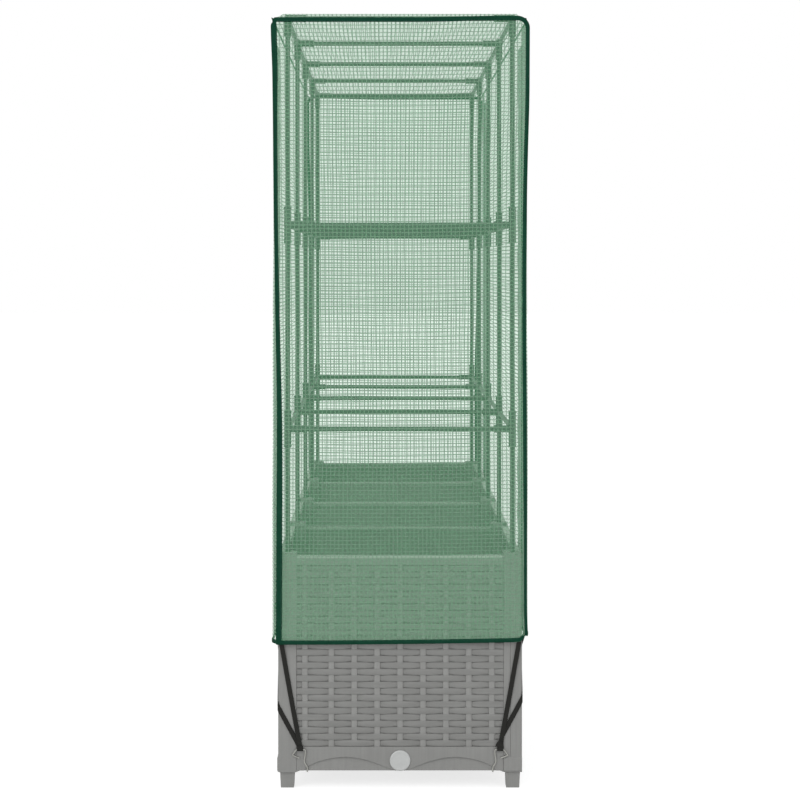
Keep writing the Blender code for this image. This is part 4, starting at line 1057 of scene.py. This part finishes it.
# Dull black with fine raised cords, a touch paler where the braid crosses them.
black_elastic, tree, skin = finish("braided_black_elastic", Roughness=0.85, Specular_IOR_Level=0.25)
web = add(tree, "UVMap", uv_map="along_strap")
axes = add(tree, "SeparateXYZ", {"Vector": web}).outputs
cords, braid = [add(tree, "MapRange", {
    "Value": add(tree, "Math", {0: axes[axis], 1: pitch / 2}, operation="PINGPONG"),
    "From Max": pitch / 2}) for axis, pitch in (("X", CORD_PITCH), ("Y", BRAID_PITCH))]
height = add(tree, "Math", {0: braid, 1: 0.4, 2: cords}, operation="MULTIPLY_ADD")
share = add(tree, "MapRange", {"Value": height, "From Max": 1.4})
blend(tree, share, "#1C1C1A", "#2E2E2B", skin["Base Color"])
bump(tree, height, 0.00025, 0.8, skin)


def rounded(points, times=2):
    """Cuts the corners of a line again and again, keeping its ends."""
    points = [Vector(point) for point in points]
    for _ in range(times):
        cut = [points[0]]
        for first, second in zip(points, points[1:]):
            cut += [first * 0.75 + second * 0.25, first * 0.25 + second * 0.75]
        points = cut + [points[-1]]
    return points


FLAT = 0.92               # the faces are flat over this share of the half width
# Across the strap and out of it: flat inside, slightly crowned outside, with rounded edges.
STRAP_SECTION = ((-1, -0.3), (-FLAT, -1), (FLAT, -1), (1, -0.3), (1, 0.3), (FLAT, 1), (0, 1.12),
                 (-FLAT, 1), (-1, 0.3))


def strap_leg(bm, corner, stations, wide=STRAP, thick=STRAP_THICK, upright=0.0):
    """A flat strap through stations, mirrored to its corner: each is a centre, an outward direction
    and, where the width changes, a width. An upright strap keeps its edges that far over and under
    its centres."""
    flat = bm.loops.layers.uv.verify()
    flip = Vector((*corner, 1))
    centres = rounded([Vector(centre) * flip for centre, *_ in stations])
    outwards = rounded([Vector(outward) * flip for _, outward, *_ in stations])
    wides = rounded([((station[2] if len(station) > 2 else wide), 0, 0) for station in stations])
    rings, runs, run = [], [], 0.0
    for number, centre in enumerate(centres):
        before, after = centres[max(number - 1, 0)], centres[min(number + 1, len(centres) - 1)]
        outward = outwards[number].normalized()
        across = (after - before).cross(outward).normalized() * wides[number].x / 2
        if upright:
            across = Vector((0, 0, upright))
        run += (centre - before).length
        runs.append(run)
        rings.append([centre + across * share + outward * thick / 2 * level * FLAT
                      for share, level in STRAP_SECTION])
    faces = iter(loft(bm, rings))
    for start, end in zip(runs, runs[1:]):
        for (share, _), (next_share, _) in zip(STRAP_SECTION, STRAP_SECTION[1:] + STRAP_SECTION[:1]):
            places = ((share, start), (next_share, start), (next_share, end), (share, end))
            for loop, (place, along) in zip(next(faces).loops, places):
                loop[flat].uv = (place * STRAP / 2, along)


CLIMB = 1.85              # the side leg's rise for each metre across
BEND = 0.0024             # the side leg turns round the post's edge over this length
SEWN = 0.0104             # the elastic's width where it is sewn over the eye
WIRE = 0.00125
TO_END, TO_SIDE, TO_CORNER = (0, 1, 0), (1, 0, 0), (1, 1, 0)
strap_low = 0.0660
foot_x = HALF_X - POST_HALF - 0.0065
top_x = SIDE_FACE - 0.0048
strap_plane = END_FACE + GAP + STRAP_THICK / 2 + 0.0004
front = strap_plane + STRAP_THICK * 0.6
behind_hem = END_PLANE - BINDING / 2 - GAP - STRAP_THICK / 2
beside = SIDE_FACE + GAP + STRAP_THICK / 2
wire_plane = END_FACE + GAP + WIRE
eye_plane = wire_plane + STRAP_THICK
eye = strap_low - 0.0020
loop_radius = WIRE + STRAP_THICK / 2

for side, sx in SIDES:
    for end, sy in ENDS:
        bm = bmesh.new()
        bm.loops.layers.uv.new("along_strap")
        corner = (sx, sy)
        strap_leg(bm, corner, [((top_x, behind_hem, HEM + 0.003), TO_END),
                               ((top_x - 0.0015, behind_hem, HEM - 0.006), TO_END),
                               ((top_x - 0.0060, front, HEM - 0.032), TO_END),
                               ((top_x - 0.0125, front, HEM - 0.070), TO_END),
                               ((foot_x + 0.0044, front, strap_low + 0.024), TO_END),
                               ((foot_x, front, strap_low), TO_END)])
        # Two of the corners are pulled tight: their side leg leaves higher and the sewn lap shows.
        tight = sx * sy < 0
        leg_low = strap_low + (0.0133 if tight else 0)
        corner_high = leg_low + CLIMB * (SIDE_FACE - foot_x)
        reach = (HEM - corner_high) / CLIMB
        at_hem = side_point(sx)(sy * (END_FACE - reach), HEM)
        under_hem = abs(at_hem.x) - BINDING / 2 - GAP - STRAP_THICK / 2
        start = foot_x + 0.0042
        strap_leg(bm, corner, [
            ((start, strap_plane, leg_low + CLIMB * (start - foot_x)), TO_END),
            ((SIDE_FACE - BEND, strap_plane, corner_high - CLIMB * BEND), TO_END),
            ((beside - BEND * 0.25, strap_plane - BEND * 0.25, corner_high), TO_CORNER),
            ((beside, END_FACE - BEND, corner_high + CLIMB * BEND), TO_SIDE),
            ((beside, END_FACE - reach * 0.87, HEM - reach * 0.13 * CLIMB), TO_SIDE),
            ((under_hem, END_FACE - reach, at_hem.z), TO_SIDE)],
            thick=STRAP_THICK * 0.7, upright=STRAP / 2 * math.hypot(1, CLIMB))
        if tight:
            lap = front + STRAP_THICK * 1.3
            strap_leg(bm, corner, [((foot_x + 0.0006, lap, strap_low + 0.0120), TO_END, 0.0076),
                                   ((foot_x - 0.0004, lap, strap_low + 0.0080), TO_END, 0.0104),
                                   ((foot_x - 0.0008, lap, strap_low + 0.0024), TO_END, 0.0142)],
                      thick=STRAP_THICK * 0.6)
        loop = [((foot_x + 0.0008, front + STRAP_THICK, strap_low + 0.0042), TO_END),
                ((foot_x + 0.0006, front + STRAP_THICK, strap_low + 0.0010), TO_END)]
        for angle in range(0, -226, -25):
            out, up = math.cos(math.radians(angle)), math.sin(math.radians(angle))
            loop.append(((foot_x + 0.0004, eye_plane + loop_radius * out, eye + loop_radius * up),
                         (0, out, up)))
        strap_leg(bm, corner, loop, SEWN)
        bmesh.ops.recalc_face_normals(bm, faces=bm.faces[:])
        name = f"corner_strap_{end}_{side}"
        place_piece(name, mesh_of(name, bm, [black_elastic], 50), "root", None,
                    f"strap_{end}_{side}")

# ------------------------------------------------
# Hooks. Zinc-plated spring wire, 2.5 mm, bent to an open triangle that the strap is sewn round
# and a shank that catches under the plinth rail.

# Passivated zinc: bright metal under a soft cloudy bloom.
zinc_plate = flecked("zinc_plated_wire", "#94948F", "#ADADA8", (260.0, 4.0), (0.38, 0.6), Metallic=1.0)
RAIL_FOOT = 0.029
RAIL_DEPTH = 0.012
# Out of the strap's foot and up from the eye, with 1 where the wire stands off to pass the strap.
BENT_EYE = ((0.0012, -0.0143, 0), (0.0106, -0.0106, 0), (0.0132, -0.0094, 0), (0.0112, -0.0064, 0.5),
            (0.0066, -0.0002, 1), (0.0048, 0, 1), (-0.0060, 0, 1), (-0.0084, -0.0002, 1),
            (-0.0080, -0.0092, 0.3), (-0.0060, -0.0183, 0), (-0.0080, -0.0242, 0), (-0.0115, -0.0280, 0))
wire_foot = RAIL_FOOT - GAP - WIRE
wire_inside = END_FACE - RAIL_DEPTH - GAP - WIRE
shank = foot_x - 0.0115
bend = WIRE + 0.0003
route = [(foot_x + out, wire_plane + (eye_plane - wire_plane) * lift, eye + up) for out, up, lift in BENT_EYE]
route += [(shank, wire_plane, wire_foot + bend), (shank, wire_plane, wire_foot),
          (shank, wire_inside, wire_foot), (shank, wire_inside, wire_foot + bend * 2)]
for side, sx in SIDES:
    for end, sy in ENDS:
        curve = bpy.data.curves.new(f"wire_hook_{end}_{side}", "CURVE")
        curve.dimensions = "3D"
        curve.bevel_depth = WIRE
        curve.bevel_resolution = 3
        curve.use_fill_caps = True
        line = rounded([(sx * x, sy * y, z) for x, y, z in route])
        spline = curve.splines.new("POLY")
        spline.points.add(len(line) - 1)
        for point, spot in zip(spline.points, line):
            point.co = (*spot, 1)
        curve.materials.append(zinc_plate)
        place_piece(f"wire_hook_{end}_{side}", curve, "root", None, f"hook_{end}_{side}")
